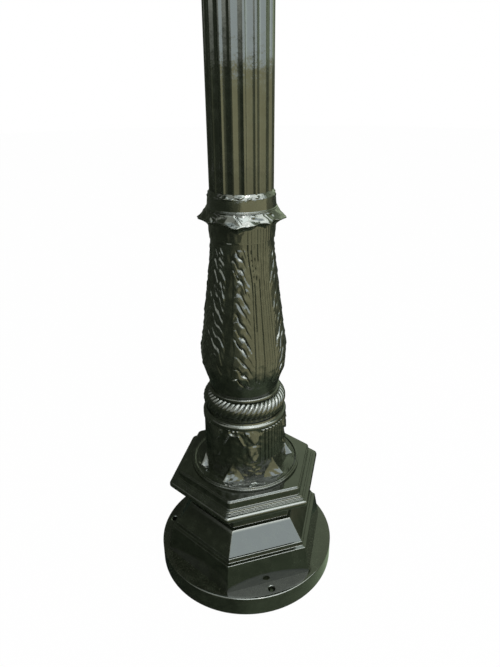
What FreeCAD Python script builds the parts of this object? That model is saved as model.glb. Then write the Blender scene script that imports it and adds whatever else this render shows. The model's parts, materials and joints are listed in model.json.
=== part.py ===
import FreeCAD, Part
import math
import os
import Sketcher

# Triple head lamp post: a stack of castings on a core tube, a fluted column, and a hub that
# carries a centre lantern and two arms with a lantern each. Front is -Y, the arms lie along X.

UP = FreeCAD.Vector(0, 0, 1)
HEX_SIDES = 6
COS_30 = math.sqrt(3) / 2
OUTWARDS = FreeCAD.Rotation(FreeCAD.Vector(0, 1, 0), 90)
# Counts of the carved forms, and their angles in degrees.
LEAVES = 3
REEDS = 8
REED_PITCH = 5.2
ROPE_LOBES = 46
ROPE_SLANT = 8
ROPE_LOBE_SWING = 62
STALK_RIBS = 7
STALK_RIB_PITCH = 4.4
STALK_RIB_SPAN = 2.8
LOBE_PLACE = 27
BLADE_SPAN = 22

# Driving sizes in millimetres, with angles in degrees.
SIZES = {
    # foot
    "flange_radius": 185,
    "flange_thickness": 42,
    "flange_edge_round": 3,
    "anchor_circle_radius": 167.5,
    "anchor_hole_radius": 7,
    "anchor_count": 3,
    "casting_wall": 9,
    "plinth_foot_flat": 150.5,
    "plinth_top_flat": 141,
    "plinth_height": 58.5,
    "ledge_inset": 6.5,
    "ledge_height": 10,
    "slope_top_flat": 104.2,
    "slope_height": 42.5,
    "neck_flat": 98,
    "neck_height": 35,
    "soffit_height": 18.5,
    "soffit_curve": 40,
    "bead_flat": 136.5,
    "bead_height": 14,
    "bead_curve": 7.9,
    "cove_inset": 13,
    "cove_height": 6,
    "cove_curve": 14,
    "fascia_height": 17,
    "fascia_round": 2,
    "top_plate": 12,
    # collar disc, leaf drum, rope ring
    "disc_radius": 109.8,
    "disc_thickness": 5.5,
    "disc_rim_radius": 105,
    "disc_rim_width": 4,
    "drum_radius": 78.5,
    "drum_foot_radius": 84.5,
    "drum_foot_height": 9,
    "drum_height": 127,
    "drum_wall": 7,
    "lip_radius": 81.5,
    "lip_height": 14,
    "lip_top": 112,
    "drum_neck_radius": 76.8,
    "web": 10,
    "leaf_turn": -93,
    "leaf_foot_reach": 22,
    "leaf_foot_half": 13,
    "leaf_foot_height": 52,
    "lobe_up": 15,
    "lobe_across": 12,
    "lobe_out": 6,
    "lobe_drop": 6,
    "lobe_pitch": 35,
    "scroll_radius": 8,
    "scroll_relief": 3,
    "blade_relief": 1.8,
    "blade_foot": 44,
    "reed_radius": 1.6,
    "reed_depth": 0.9,
    "reed_foot": 28,
    "rope_tube": 20,
    "rope_height": 40,
    "rope_seat_radius": 70,
    "rope_inner_radius": 50,
    "rope_top_band": 8,
    "lobe_groove_half": 2.4,
    "lobe_groove_depth": 1.6,
    # vase
    "vase_foot_radius": 66,
    "vase_radius": 80.5,
    "vase_belly_height": 81,
    "vase_belly_curve": 206,
    "vase_shoulder_radius": 77.6,
    "vase_shoulder_height": 104,
    "vase_shoulder_curve": 150,
    "vase_waist_radius": 59.8,
    "vase_waist_height": 248,
    "vase_neck_radius": 56.5,
    "vase_neck_curve": 350,
    "vase_height": 292,
    "vase_wall": 7,
    "stalk_turn": -46.6,
    "stalk_rib_height": 1.6,
    "stalk_foot": 22,
    "stalk_head": 10,
    # crown and column
    "crown_flare_radius": 68,
    "crown_flare_height": 33,
    "crown_flare_curve": 40,
    "crown_step": 6,
    "crown_turn": -84.6,
    "crown_tip_reach": 79,
    "crown_small_tip_reach": 73,
    "crown_valley_reach": 67.5,
    "crown_tip_start": 25,
    "crown_tip_level": 36,
    "crown_tip_top": 43,
    "crown_height": 81,
    "crown_floor": 8,
    "collar_radius": 59.3,
    "collar_height": 61,
    "collar_lip": 1.2,
    "column_radius": 54.5,
    "column_bore_radius": 45,
    "column_length": 1260,
    "flute_count": 18,
    "flute_radius": 13,
    "flute_depth": 3,
    # core tube and its nuts
    "core_radius": 24.15,
    "core_bore_radius": 20.95,
    "core_tail": 38,
    "washer_radius": 40,
    "washer_thickness": 4,
    "nut_flat": 33,
    "nut_height": 16,
    "fit_gap": 0.3,
    # capital, hub and stem
    "capital_sleeve": 25,
    "capital_sleeve_radius": 61,
    "capital_bell_height": 48,
    "capital_bell_radius": 78,
    "capital_bell_curve": 70,
    "capital_abacus": 11,
    "capital_top_radius": 60,
    "capital_height": 100,
    "hub_radius": 44,
    "hub_belly_curve": 124,
    "hub_base_radius": 56,
    "hub_ring": 10,
    "hub_height": 120,
    "hub_boss_radius": 27,
    "hub_boss_reach": 74,
    "arm_socket_depth": 36,
    "wire_hole_radius": 6,
    "hub_cap_recess": 30,
    "hub_cap_radius": 42,
    "stem_height": 150,
    "stem_foot_radius": 46,
    "stem_waist_radius": 17,
    "stem_knop_radius": 30,
    # arms and braces
    "arm_radius": 17,
    "arm_bore_radius": 13,
    "arm_straight": 40,
    "arm_dip_curve": 120,
    "arm_dip_turn": 30,
    "arm_rise_curve": 140,
    "arm_tip": 42,
    "arm_ring_radius": 26,
    "arm_ring_height": 8,
    "arm_spigot": 32,
    "brace_width": 22,
    "brace_thickness": 8,
    "brace_straight": 60,
    "brace_curl": 44,
    "brace_inner_curl": 26,
    "brace_eye_radius": 11,
    "screw_head_radius": 5.5,
    "screw_head_height": 3.5,
    # lantern, up from the seat of its cup
    "cup_height": 55,
    "cup_stem_radius": 23,
    "cup_stem_height": 34,
    "cup_bowl_curve": 45,
    "cup_rim_radius": 62,
    "cup_rim_height": 6,
    "frame_foot_flat": 70,
    "frame_head_flat": 111,
    "frame_height": 265,
    "frame_wall": 5,
    "frame_floor": 4,
    "frame_foot_ring": 14,
    "frame_head_ring": 16,
    "bar_half_width": 8,
    "pane_thickness": 3,
    "pane_corner_gap": 5,
    "pane_overlap": 8,
    "eave_flat": 123,
    "eave_height": 6,
    "roof_wall": 3,
    "roof_swell_flat": 103,
    "roof_swell_height": 22,
    "roof_swell_curve": 42,
    "roof_top_flat": 40,
    "roof_height": 88,
    "roof_sweep_curve": 120,
    "roof_seat_flat": 98,
    "roof_hole_radius": 18,
    "vent_radius": 27,
    "vent_foot_radius": 33,
    "vent_foot_height": 4,
    "vent_height": 22,
    "vent_wall": 3,
    "vent_slot_half": 6,
    "vent_slot_height": 10,
    "vent_slot_count": 6,
    "vent_cap_radius": 45,
    "vent_cap_curve": 48,
    "vent_cap_height": 20,
    "vent_cap_rim": 4,
    "vent_top_radius": 12,
    "finial_height": 58,
    "finial_ball_radius": 14,
    "finial_tip_radius": 2,
    "hinge_offset": 6,
    "hinge_drop": 2.7,
    "knuckle_radius": 5,
    "knuckle_length": 12,
    "knuckle_gap": 0.3,
    "pin_radius": 2.5,
    "pin_gap": 0.06,
    "pin_head_radius": 4,
    "pin_head": 1.5,
    "holder_radius": 20,
    "holder_height": 46,
    "holder_socket": 32,
    "bulb_cap_radius": 13.5,
    "bulb_radius": 31,
    "bulb_neck_height": 34,
    "bulb_neck_curve": 60,
    "screw_radius": 3,
    "screw_length": 9,
    "cup_screw_count": 3,
}

document = FreeCAD.newDocument("TripleHeadLampPost")
sheet = document.addObject("Spreadsheet::Sheet", "Sizes")
nodes = []


class Length:
    """A size as its present number and as the sheet expression that gives it."""

    def __init__(self, value, text):
        self.value = float(value)
        self.text = text

    def __add__(self, other):
        other = as_length(other)
        return Length(self.value + other.value, f"({self.text} + {other.text})")

    def __sub__(self, other):
        other = as_length(other)
        return Length(self.value - other.value, f"({self.text} - {other.text})")

    def __mul__(self, factor):
        factor = as_length(factor)
        return Length(self.value * factor.value, f"({self.text} * {factor.text})")

    def __truediv__(self, divisor):
        divisor = as_length(divisor)
        return Length(self.value / divisor.value, f"({self.text} / {divisor.text})")

    def __neg__(self):
        return Length(-self.value, f"(0 - {self.text})")

    __radd__ = __add__
    __rmul__ = __mul__


class Sheet:
    """Gives each named size of the spreadsheet as a Length."""

    def __getattr__(self, name):
        return Length(SIZES[name], f"Sizes.{name}")


size = Sheet()


def as_length(number):
    return number if isinstance(number, Length) else Length(number, repr(float(number)))


def fill_sheet():
    for row, (name, value) in enumerate(SIZES.items(), start=1):
        sheet.set(f"A{row}", str(value))
        sheet.setAlias(f"A{row}", name)
    document.recompute()


def bind(item, path, amount):
    item.setExpression(path, as_length(amount).text)


def node(item, name):
    """Name a finished sub-part and list it for writing."""
    item.Label = name
    nodes.append(item)
    return item


def plane_of(body, role):
    return next(plane for plane in body.Origin.OriginFeatures if plane.Role == role)


def sketch_in(body, name, role="XZ_Plane", offset=None):
    sketch = body.newObject("Sketcher::SketchObject", name)
    sketch.AttachmentSupport = [(plane_of(body, role), "")]
    sketch.MapMode = "FlatFace"
    if offset is not None:
        bind(sketch, "AttachmentOffset.Base.z", offset)
    return sketch


def upright_sketch(name):
    """A sketch of its own, standing in the XZ plane."""
    sketch = document.addObject("Sketcher::SketchObject", name)
    sketch.Placement = FreeCAD.Placement(FreeCAD.Vector(), FreeCAD.Rotation(FreeCAD.Vector(1, 0, 0), 90))
    return sketch


def arc_between(start, end, radius):
    """The short arc from start to end: it turns left where radius is positive, else right."""
    middle = (start + end) * 0.5
    chord = end - start
    left = FreeCAD.Vector(-chord.y, chord.x, 0).normalize()
    reach = math.sqrt(max(radius * radius - chord.Length ** 2 / 4, 0))
    centre = middle + left * math.copysign(reach, radius)
    first, last = (start, end) if radius > 0 else (end, start)
    angles = [math.atan2(point.y - centre.y, point.x - centre.x) for point in (first, last)]
    return Part.ArcOfCircle(Part.Circle(centre, UP, abs(radius)), angles[0], angles[1])


def draw_outline(sketch, corners, mirrored=False):
    """Draw a closed outline and tie every corner and curve to the sheet.

    A corner is (across, up) or (across, up, radius), where radius curves the stretch that
    arrives there. A mirrored outline is given as its right half, from the bottom up.
    """
    whole = [(as_length(corner[0]), as_length(corner[1]), corner[2] if len(corner) > 2 else None)
             for corner in corners]
    count = len(whole)
    if mirrored:
        left = []
        for index in range(count - 1, -1, -1):
            curve = whole[index + 1][2] if index + 1 < count else None
            left.append((-whole[index][0], whole[index][1], curve))
        whole = whole + left
    points = [FreeCAD.Vector(across.value, up.value, 0) for across, up, _ in whole]
    total = len(points)
    shapes = []
    ends = []
    for index in range(total):
        start, end = points[index - 1], points[index]
        curve = whole[index][2]
        if curve is None:
            shapes.append(Part.LineSegment(start, end))
            ends.append((1, 2))
        else:
            shapes.append(arc_between(start, end, as_length(curve).value))
            ends.append((1, 2) if as_length(curve).value > 0 else (2, 1))
    sketch.addGeometry(shapes, False)
    rules = []
    formulas = {}
    for index in range(total):
        following = (index + 1) % total
        rules.append(Sketcher.Constraint("Coincident", index, ends[index][1], following, ends[following][0]))
        if mirrored and index >= count:
            twin = total - 1 - index
            rules.append(Sketcher.Constraint("Symmetric", twin, ends[twin][1], index, ends[index][1], -2))
        else:
            for kind, amount, axis in (("DistanceX", whole[index][0], -2), ("DistanceY", whole[index][1], -1)):
                if amount.value == 0:
                    rules.append(Sketcher.Constraint("PointOnObject", index, ends[index][1], axis))
                else:
                    formulas[len(rules)] = amount
                    rules.append(Sketcher.Constraint(kind, -1, 1, index, ends[index][1], amount.value))
        curve = whole[index][2]
        if curve is not None:
            formulas[len(rules)] = curve if as_length(curve).value > 0 else -as_length(curve)
            rules.append(Sketcher.Constraint("Radius", index, abs(as_length(curve).value)))
    sketch.addConstraint(rules)
    for index, amount in formulas.items():
        bind(sketch, f"Constraints[{index}]", amount)


def root(amount):
    return Length(math.sqrt(amount.value), f"sqrt({amount.text})")


def at_angle(reach, angle):
    """Across and up of the place at a reach from the axis and an angle in degrees."""
    turn = math.radians(angle)
    return reach * round(math.cos(turn), 9), reach * round(math.sin(turn), 9)


def turn_post_piece(item, angle):
    """Turn a finished piece about the post's axis."""
    item.Placement = FreeCAD.Placement(FreeCAD.Vector(), FreeCAD.Rotation(UP, angle.value))
    bind(item, "Placement.Rotation.Angle", angle)
    return item


def draw_circle(sketch, radius, across=0, up=0):
    across, up = as_length(across), as_length(up)
    circle = Part.Circle(FreeCAD.Vector(across.value, up.value, 0), UP, as_length(radius).value)
    index = sketch.addGeometry(circle, False)
    bind(sketch, f"Constraints[{sketch.addConstraint(Sketcher.Constraint('Radius', index, circle.Radius))}]", radius)
    for kind, amount, axis in (("DistanceX", across, -2), ("DistanceY", up, -1)):
        if amount.value == 0:
            sketch.addConstraint(Sketcher.Constraint("PointOnObject", index, 3, axis))
        else:
            rule = sketch.addConstraint(Sketcher.Constraint(kind, -1, 1, index, 3, amount.value))
            bind(sketch, f"Constraints[{rule}]", amount)


def turned(name, corners):
    """A body made by turning a closed outline about the vertical axis."""
    body = document.addObject("PartDesign::Body", name)
    sketch = sketch_in(body, f"{name}_outline")
    draw_outline(sketch, corners)
    turn = body.newObject("PartDesign::Revolution", f"{name}_turn")
    turn.Profile = sketch
    turn.ReferenceAxis = (sketch, ["V_Axis"])
    turn.Angle = 360
    body.Tip = turn
    return body


def pad(body, sketch, length, name, midplane=False, reversed_=False):
    feature = body.newObject("PartDesign::Pad", name)
    feature.Profile = sketch
    bind(feature, "Length", length)
    feature.Midplane = midplane
    feature.Reversed = reversed_
    body.Tip = feature
    return feature


def cut_through(body, sketch, length, name, midplane=True):
    feature = body.newObject("PartDesign::Pocket", name)
    feature.Profile = sketch
    bind(feature, "Length", length)
    feature.Midplane = midplane
    body.Tip = feature
    return feature


def loft_through(body, sketches, name, ruled=False):
    loft = body.newObject("PartDesign::AdditiveLoft", name)
    loft.Profile = sketches[0]
    loft.Sections = sketches[1:]
    loft.Ruled = ruled
    body.Tip = loft
    return loft


def placed(item, sizes, place, rotation):
    """Give a Part item its sizes, its place and its turn."""
    item.Placement = FreeCAD.Placement(FreeCAD.Vector(), rotation)
    for key, amount in sizes.items():
        bind(item, key, amount)
    for axis, amount in zip("xyz", place):
        bind(item, f"Placement.Base.{axis}", amount)
    return item


def part_turn(name, outline, span, middle):
    """An outline turned about the post's axis through a span of degrees round a middle angle."""
    item = document.addObject("Part::Revolution", name)
    item.Source = outline
    item.Axis = UP
    item.Angle = span
    item.Solid = True
    item.Placement.Rotation = FreeCAD.Rotation(UP, middle - span / 2)
    return item


def repeat_round(body, feature, count, name, angle=360):
    pattern = body.newObject("PartDesign::PolarPattern", name)
    pattern.Originals = [feature]
    axis = next(line for line in body.Origin.OriginFeatures if line.Role == "Z_Axis")
    pattern.Axis = (axis, [""])
    pattern.Angle = angle
    bind(pattern, "Occurrences", count)
    body.Tip = pattern
    return pattern


def six_sided(name, corners, start_turn=0):
    """A mitred hexagonal solid: the common part of one profile run through in three directions."""
    sketch = upright_sketch(f"{name}_profile")
    draw_outline(sketch, corners, mirrored=True)
    runs = []
    for index in range(HEX_SIDES // 2):
        run = document.addObject("Part::Extrusion", f"{name}_run_{index}")
        run.Base = sketch
        run.DirMode = "Custom"
        run.Dir = FreeCAD.Vector(0, 1, 0)
        run.LengthFwd = run.LengthRev = 2 * max(as_length(corner[0]).value for corner in corners)
        run.Solid = True
        run.Placement = FreeCAD.Placement(FreeCAD.Vector(), FreeCAD.Rotation(UP, start_turn + 60 * index))
        runs.append(run)
    common = document.addObject("Part::MultiCommon", name)
    common.Shapes = runs
    return common


def cylinder(name, radius, length, across=0, depth=0, up=0, along=UP):
    item = document.addObject("Part::Cylinder", name)
    bind(item, "Radius", radius)
    bind(item, "Height", length)
    item.Placement = FreeCAD.Placement(FreeCAD.Vector(), FreeCAD.Rotation(UP, along))
    for axis, amount in (("x", across), ("y", depth), ("z", up)):
        bind(item, f"Placement.Base.{axis}", amount)
    return item


def box(name, low, high):
    """A box from its low corner to its high corner."""
    item = document.addObject("Part::Box", name)
    for axis, side, start, end in zip("xyz", ("Length", "Width", "Height"), low, high):
        bind(item, f"Placement.Base.{axis}", start)
        bind(item, side, as_length(end) - start)
    return item


def united(name, items):
    fuse = document.addObject("Part::MultiFuse", name)
    fuse.Shapes = items
    return fuse


def without(name, base, tool):
    cut = document.addObject("Part::Cut", name)
    cut.Base = base
    cut.Tool = tool
    return cut


# Levels of the stacked castings, from the ground up.
ledge_level = size.flange_thickness + size.plinth_height
slope_level = ledge_level + size.ledge_height
neck_level = slope_level + size.slope_height
soffit_level = neck_level + size.neck_height
bead_level = soffit_level + size.soffit_height
cove_level = bead_level + size.bead_height
fascia_level = cove_level + size.cove_height
disc_level = fascia_level + size.fascia_height
drum_level = disc_level + size.disc_thickness
rope_level = drum_level + size.drum_height
vase_level = rope_level + size.rope_height + size.rope_top_band
crown_level = vase_level + size.vase_height
column_level = crown_level + size.crown_floor
column_top = column_level + size.column_length
hub_level = column_top + size.capital_height - size.capital_sleeve
arm_level = hub_level + size.hub_height * 0.5
stem_level = hub_level + size.hub_height
core_hole = size.core_radius + size.fit_gap
arm_screw_reach = size.hub_boss_reach - size.arm_socket_depth * 0.4


def pedestal():
    """Flange, plinth, sloped faces, neck and cornice in one hollow casting."""
    cove_flat = size.bead_flat - size.cove_inset
    outside = six_sided("pedestal_outside", [
        (size.plinth_foot_flat, size.flange_thickness * 0.5),
        (size.plinth_foot_flat, size.flange_thickness),
        (size.plinth_top_flat, ledge_level),
        (size.plinth_top_flat - size.ledge_inset, ledge_level + 2),
        (size.plinth_top_flat - size.ledge_inset - 1, slope_level),
        (size.slope_top_flat, neck_level),
        (size.neck_flat, neck_level + 2),
        (size.neck_flat, soffit_level),
        (size.bead_flat, bead_level, -size.soffit_curve),
        (size.bead_flat - 1, cove_level, size.bead_curve),
        (cove_flat, fascia_level, -size.cove_curve),
        (cove_flat - 1.5, fascia_level + 1),
        (cove_flat - 3, disc_level - size.fascia_round),
        (cove_flat - 3 - size.fascia_round, disc_level, size.fascia_round),
    ])
    wall = size.casting_wall
    inside = six_sided("pedestal_inside", [
        (size.plinth_foot_flat - wall * 1.8, -wall),
        (size.plinth_top_flat - wall, ledge_level - wall * 0.5),
        (size.plinth_top_flat - size.ledge_inset - wall, slope_level - wall * 0.5),
        (size.slope_top_flat - wall, neck_level - wall * 0.5),
        (size.neck_flat - wall, neck_level),
        (size.neck_flat - wall, soffit_level + wall * 0.5),
        (size.bead_flat - wall * 2.7, bead_level + wall * 0.5),
        (size.bead_flat - wall * 2.7, disc_level - size.top_plate),
    ])
    flange = document.addObject("PartDesign::Body", "pedestal_flange")
    rim = sketch_in(flange, "flange_rim", "XY_Plane")
    draw_circle(rim, size.flange_radius)
    pad(flange, rim, size.flange_thickness, "flange_plate")
    hole = sketch_in(flange, "flange_hole", "XY_Plane")
    draw_circle(hole, size.anchor_hole_radius, -size.anchor_circle_radius)
    drilled = cut_through(flange, hole, size.flange_thickness * 3, "flange_drilling")
    repeat_round(flange, drilled, size.anchor_count, "flange_drillings")
    document.recompute()
    plate = flange.Tip
    rim_edges = [
        f"Edge{index}" for index, edge in enumerate(plate.Shape.Edges, start=1)
        if edge.BoundBox.ZMin > size.flange_thickness.value - 1
        and edge.BoundBox.XLength > size.flange_radius.value
    ]
    round_edges = flange.newObject("PartDesign::Fillet", "flange_edge")
    round_edges.Base = (plate, rim_edges)
    bind(round_edges, "Radius", size.flange_edge_round)
    flange.Tip = round_edges
    solid = united("pedestal_solid", [outside, flange])
    bore = cylinder("pedestal_bore", core_hole, size.top_plate * 3, up=disc_level - size.top_plate * 2)
    hollow = united("pedestal_hollow", [inside, bore])
    node(without("pedestal_casting", solid, hollow), "pedestal")


def collar_disc():
    """Round disc with a raised rim near its edge."""
    top = drum_level
    rim = size.disc_rim_radius
    node(turned("collar_disc_body", [
        (core_hole, disc_level),
        (size.disc_radius, disc_level),
        (size.disc_radius, top - 1),
        (rim + size.disc_rim_width * 0.5, top + 1),
        (rim - size.disc_rim_width * 0.5, top + 1, size.disc_rim_width * 0.55),
        (rim - size.disc_rim_width, top),
        (core_hole, top),
    ]), "collar_disc")


def leaf_drum():
    """Hollow drum with leaf feet, reeded panels and curled lobes between its foot and its lip."""
    top = rope_level
    lip_top = drum_level + size.lip_top
    lip_low = lip_top - size.lip_height
    inner = size.drum_radius - size.drum_wall
    body = turned("leaf_drum_body", [
        (inner, drum_level),
        (size.drum_foot_radius, drum_level),
        (size.drum_foot_radius, drum_level + size.drum_foot_height * 0.4),
        (size.drum_radius, drum_level + size.drum_foot_height, -size.drum_foot_height),
        (size.drum_radius, lip_low - 3),
        (size.lip_radius - 2, lip_low, -4),
        (size.lip_radius - 2, lip_top, size.lip_height * 0.6),
        (size.drum_neck_radius - 4, lip_top + 2),
        (size.drum_neck_radius - 4, top - 7),
        (size.drum_neck_radius, top - 4, -4),
        (size.drum_neck_radius, top),
        (core_hole, top),
        (core_hole, top - size.web),
        (inner, top - size.web),
    ])
    add_reeds(body, lip_low - 2)
    add_leaf_feet(body)
    node(turn_post_piece(united("drum_with_leaves", [body, *leaf_curls(lip_low)]), size.leaf_turn), "leaf_drum")


def add_reeds(body, head):
    """Cut the upright grooves of the panels between the leaves."""
    foot = drum_level + size.reed_foot
    sketch = sketch_in(body, "reed_grooves", "XY_Plane", foot)
    reach = size.drum_radius + size.reed_radius - size.reed_depth
    for index in range(REEDS):
        draw_circle(sketch, size.reed_radius, *at_angle(reach, 60 + REED_PITCH * (index - (REEDS - 1) / 2)))
    cut = cut_through(body, sketch, head - foot, "reed_cut", midplane=False)
    cut.Reversed = True
    repeat_round(body, cut, LEAVES, "reeded_panels")


def add_leaf_feet(body):
    """Add the leaf tips that sweep down from the drum and lie on the disc."""
    buried = size.drum_radius - size.drum_wall * 0.5
    sections = []
    for index, share in enumerate((0, 0.25, 0.55, 1)):
        level = drum_level + size.leaf_foot_height * share
        sketch = sketch_in(body, f"leaf_foot_{index}", "XY_Plane", level)
        tip = size.drum_radius - 0.5 + size.leaf_foot_reach * (1 - share) ** 2
        half = size.leaf_foot_half * (1 - 0.7 * share)
        draw_outline(sketch, [(buried, -half), (tip, 0), (buried, half)])
        sections.append(sketch)
    foot = loft_through(body, sections, "leaf_foot")
    repeat_round(body, foot, LEAVES * 2, "leaf_feet")


def leaf_curls(lip_low):
    """Each leaf's raised blade, its four side lobes and the scroll at its head."""
    outer = size.drum_radius + size.blade_relief
    buried = size.drum_radius - size.drum_wall * 0.5
    blade = upright_sketch("leaf_blade_outline")
    draw_outline(blade, [
        (buried, drum_level + size.blade_foot),
        (outer, drum_level + size.blade_foot + size.blade_relief * 2),
        (outer, lip_low),
        (buried, lip_low),
    ])
    lobe = {"Radius1": size.lobe_up, "Radius2": size.lobe_out, "Radius3": size.lobe_across}
    reach = size.drum_radius - size.lobe_out * 0.35
    scroll_level = lip_low - size.scroll_radius - size.lobe_drop
    curls = []
    for leaf in range(LEAVES):
        middle = 360 / LEAVES * leaf
        curls.append(part_turn(f"leaf_{leaf}_blade", blade, BLADE_SPAN, middle))
        for index, beside in enumerate((-LOBE_PLACE, LOBE_PLACE)):
            for row in range(2):
                level = lip_low - size.lobe_drop - size.lobe_pitch * row
                place = (*at_angle(reach, middle + beside), level)
                item = document.addObject("Part::Ellipsoid", f"leaf_{leaf}_lobe_{index}_{row}")
                curls.append(placed(item, lobe, place, FreeCAD.Rotation(UP, middle + beside)))
        for name, radius, relief in (("disc", size.scroll_radius, size.scroll_relief),
                                     ("eye", size.scroll_radius * 0.4, size.scroll_relief * 1.7)):
            item = document.addObject("Part::Cylinder", f"leaf_{leaf}_scroll_{name}")
            length = {"Radius": radius, "Height": outer + relief - buried}
            place = (*at_angle(buried, middle), scroll_level)
            curls.append(placed(item, length, place, FreeCAD.Rotation(UP, middle) * OUTWARDS))
    return curls


def rope_ring():
    """Rounded ring of slanting lobes with a flat band on top."""
    body_low = rope_level + 2
    band_level = rope_level + size.rope_height
    body = turned("rope_ring_body", [
        (size.rope_inner_radius, rope_level),
        (size.rope_seat_radius + 2, rope_level),
        (size.rope_seat_radius + 2, body_low),
        (size.rope_seat_radius, body_low + 2),
        (size.rope_seat_radius, band_level, size.rope_tube),
        (size.rope_seat_radius, band_level + size.rope_top_band),
        (size.rope_inner_radius, band_level + size.rope_top_band),
    ])
    half_height = (band_level - body_low - 2) * 0.5
    centre = size.rope_seat_radius - root(size.rope_tube * size.rope_tube - half_height * half_height)
    bottom = size.rope_tube - size.lobe_groove_depth
    mouth = size.rope_tube + size.lobe_groove_depth
    groove = document.addObject("Sketcher::SketchObject", "lobe_groove_outline")
    draw_outline(groove, [(bottom, 0), (mouth, -size.lobe_groove_half), (mouth, size.lobe_groove_half)])
    grooves = []
    for index in range(ROPE_LOBES):
        angle = 360 / ROPE_LOBES * index
        item = document.addObject("Part::Revolution", f"lobe_groove_{index}")
        item.Source = groove
        item.Axis = FreeCAD.Vector(0, 1, 0)
        item.Angle = 2 * ROPE_LOBE_SWING
        item.Symmetric = True
        item.Solid = True
        place = (*at_angle(centre, angle), band_level - half_height)
        turn = FreeCAD.Rotation(UP, angle) * FreeCAD.Rotation(FreeCAD.Vector(1, 0, 0), ROPE_SLANT)
        grooves.append(placed(item, {}, place, turn))
    node(without("rope_ring_with_lobes", body, united("lobe_grooves", grooves)), "rope_ring")


def vase():
    """Hollow vase with two ribbed stalks, open below and closed by a web above."""
    wall = size.vase_wall
    top = crown_level
    belly = vase_level + size.vase_belly_height
    shoulder = vase_level + size.vase_shoulder_height
    waist = vase_level + size.vase_waist_height
    body = turned("vase_body", [
        (size.vase_foot_radius - wall - 2, vase_level),
        (size.vase_foot_radius - 2, vase_level),
        (size.vase_foot_radius, vase_level + 6),
        (size.vase_radius, belly, size.vase_belly_curve),
        (size.vase_shoulder_radius, shoulder, size.vase_shoulder_curve),
        (size.vase_waist_radius, waist),
        (size.vase_neck_radius, top, -size.vase_neck_curve),
        (core_hole, top),
        (core_hole, top - size.web),
        (size.vase_neck_radius - wall, top - size.web),
        (size.vase_waist_radius - wall, waist - size.web),
        (size.vase_shoulder_radius - wall, shoulder),
        (size.vase_radius - wall, belly, -size.vase_shoulder_curve),
        (size.vase_foot_radius - wall, vase_level + 6, -size.vase_belly_curve),
    ])
    raised = size.stalk_rib_height
    buried = wall * 0.5
    foot = vase_level + size.stalk_foot
    head = top - size.stalk_head
    profile = upright_sketch("stalk_rib_outline")
    draw_outline(profile, [
        (size.vase_foot_radius + raised, foot),
        (size.vase_radius + raised, belly, size.vase_belly_curve),
        (size.vase_shoulder_radius + raised, shoulder, size.vase_shoulder_curve),
        (size.vase_waist_radius + raised, waist),
        (size.vase_neck_radius + raised, head, -size.vase_neck_curve),
        (size.vase_neck_radius - buried, head),
        (size.vase_waist_radius - buried, waist),
        (size.vase_shoulder_radius - buried, shoulder),
        (size.vase_radius - buried, belly),
        (size.vase_foot_radius - buried, foot),
    ])
    ribs = [part_turn(f"stalk_{stalk}_rib_{index}", profile, STALK_RIB_SPAN,
                      180 * stalk + STALK_RIB_PITCH * (index - (STALK_RIBS - 1) / 2))
            for stalk in range(2) for index in range(STALK_RIBS)]
    node(turn_post_piece(united("vase_with_stalks", [body, *ribs]), size.stalk_turn), "vase")


def leaf_crown():
    """Flared ring of pointed leaf tips with a plain collar that holds the foot of the column."""
    flare = crown_level + size.crown_flare_height
    shoulder = flare + size.crown_step
    collar_top = crown_level + size.collar_height
    bore = size.column_radius + size.fit_gap
    body = turned("leaf_crown_body", [
        (core_hole, crown_level),
        (size.vase_neck_radius, crown_level),
        (size.vase_neck_radius + 1, crown_level + 9),
        (size.crown_flare_radius, flare, -size.crown_flare_curve),
        (size.collar_radius + 1, shoulder),
        (size.collar_radius, shoulder + 6),
        (size.collar_radius, collar_top),
        (bore + size.collar_lip, crown_level + size.crown_height),
        (bore, crown_level + size.crown_height),
        (bore, column_level),
        (core_hole, column_level),
    ])
    stars = []
    for name, height, spread in (("low", size.crown_tip_start, 0.25), ("wide", size.crown_tip_level, 1),
                                 ("top", size.crown_tip_top, 0.7)):
        sketch = sketch_in(body, f"leaf_tips_{name}", "XY_Plane", crown_level + height)
        inner = size.collar_radius
        reaches = (size.crown_tip_reach, size.crown_valley_reach, size.crown_small_tip_reach, size.crown_valley_reach)
        places = (0, 27, 45, 63)
        draw_outline(sketch, [at_angle(inner + (reach - inner) * spread, quarter + place)
                              for quarter in (0, 90, 180, 270) for place, reach in zip(places, reaches)])
        stars.append(sketch)
    loft_through(body, stars, "leaf_tips", ruled=True)
    seat = sketch_in(body, "column_seat", "XY_Plane", column_level)
    draw_circle(seat, bore)
    bored = cut_through(body, seat, size.crown_height, "column_seat_bore", midplane=False)
    bored.Reversed = True
    node(turn_post_piece(body, size.crown_turn), "leaf_crown")


def fluted_column():
    """Long tube with round flutes and sharp arrises between them."""
    body = document.addObject("PartDesign::Body", "fluted_column_body")
    section = sketch_in(body, "column_section", "XY_Plane", column_level)
    draw_circle(section, size.column_radius)
    draw_circle(section, size.column_bore_radius)
    pad(body, section, size.column_length, "column_tube")
    flute = sketch_in(body, "column_flute", "XY_Plane", column_level)
    draw_circle(flute, size.flute_radius, size.column_radius + size.flute_radius - size.flute_depth)
    cutter = body.newObject("PartDesign::Pocket", "column_flute_cut")
    cutter.Profile = flute
    cutter.Reversed = True
    bind(cutter, "Length", size.column_length)
    body.Tip = cutter
    repeat_round(body, cutter, size.flute_count, "column_flutes")
    drill = sketch_in(body, "column_screw_holes", "YZ_Plane")
    for level in {place[3] for place in brace_places}:
        drill.addGeometry(Part.Circle(FreeCAD.Vector(0, level, 0), UP, size.screw_radius.value), False)
    cut_through(body, drill, size.column_radius * 3, "column_drilling")
    node(body, "fluted_column")


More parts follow.
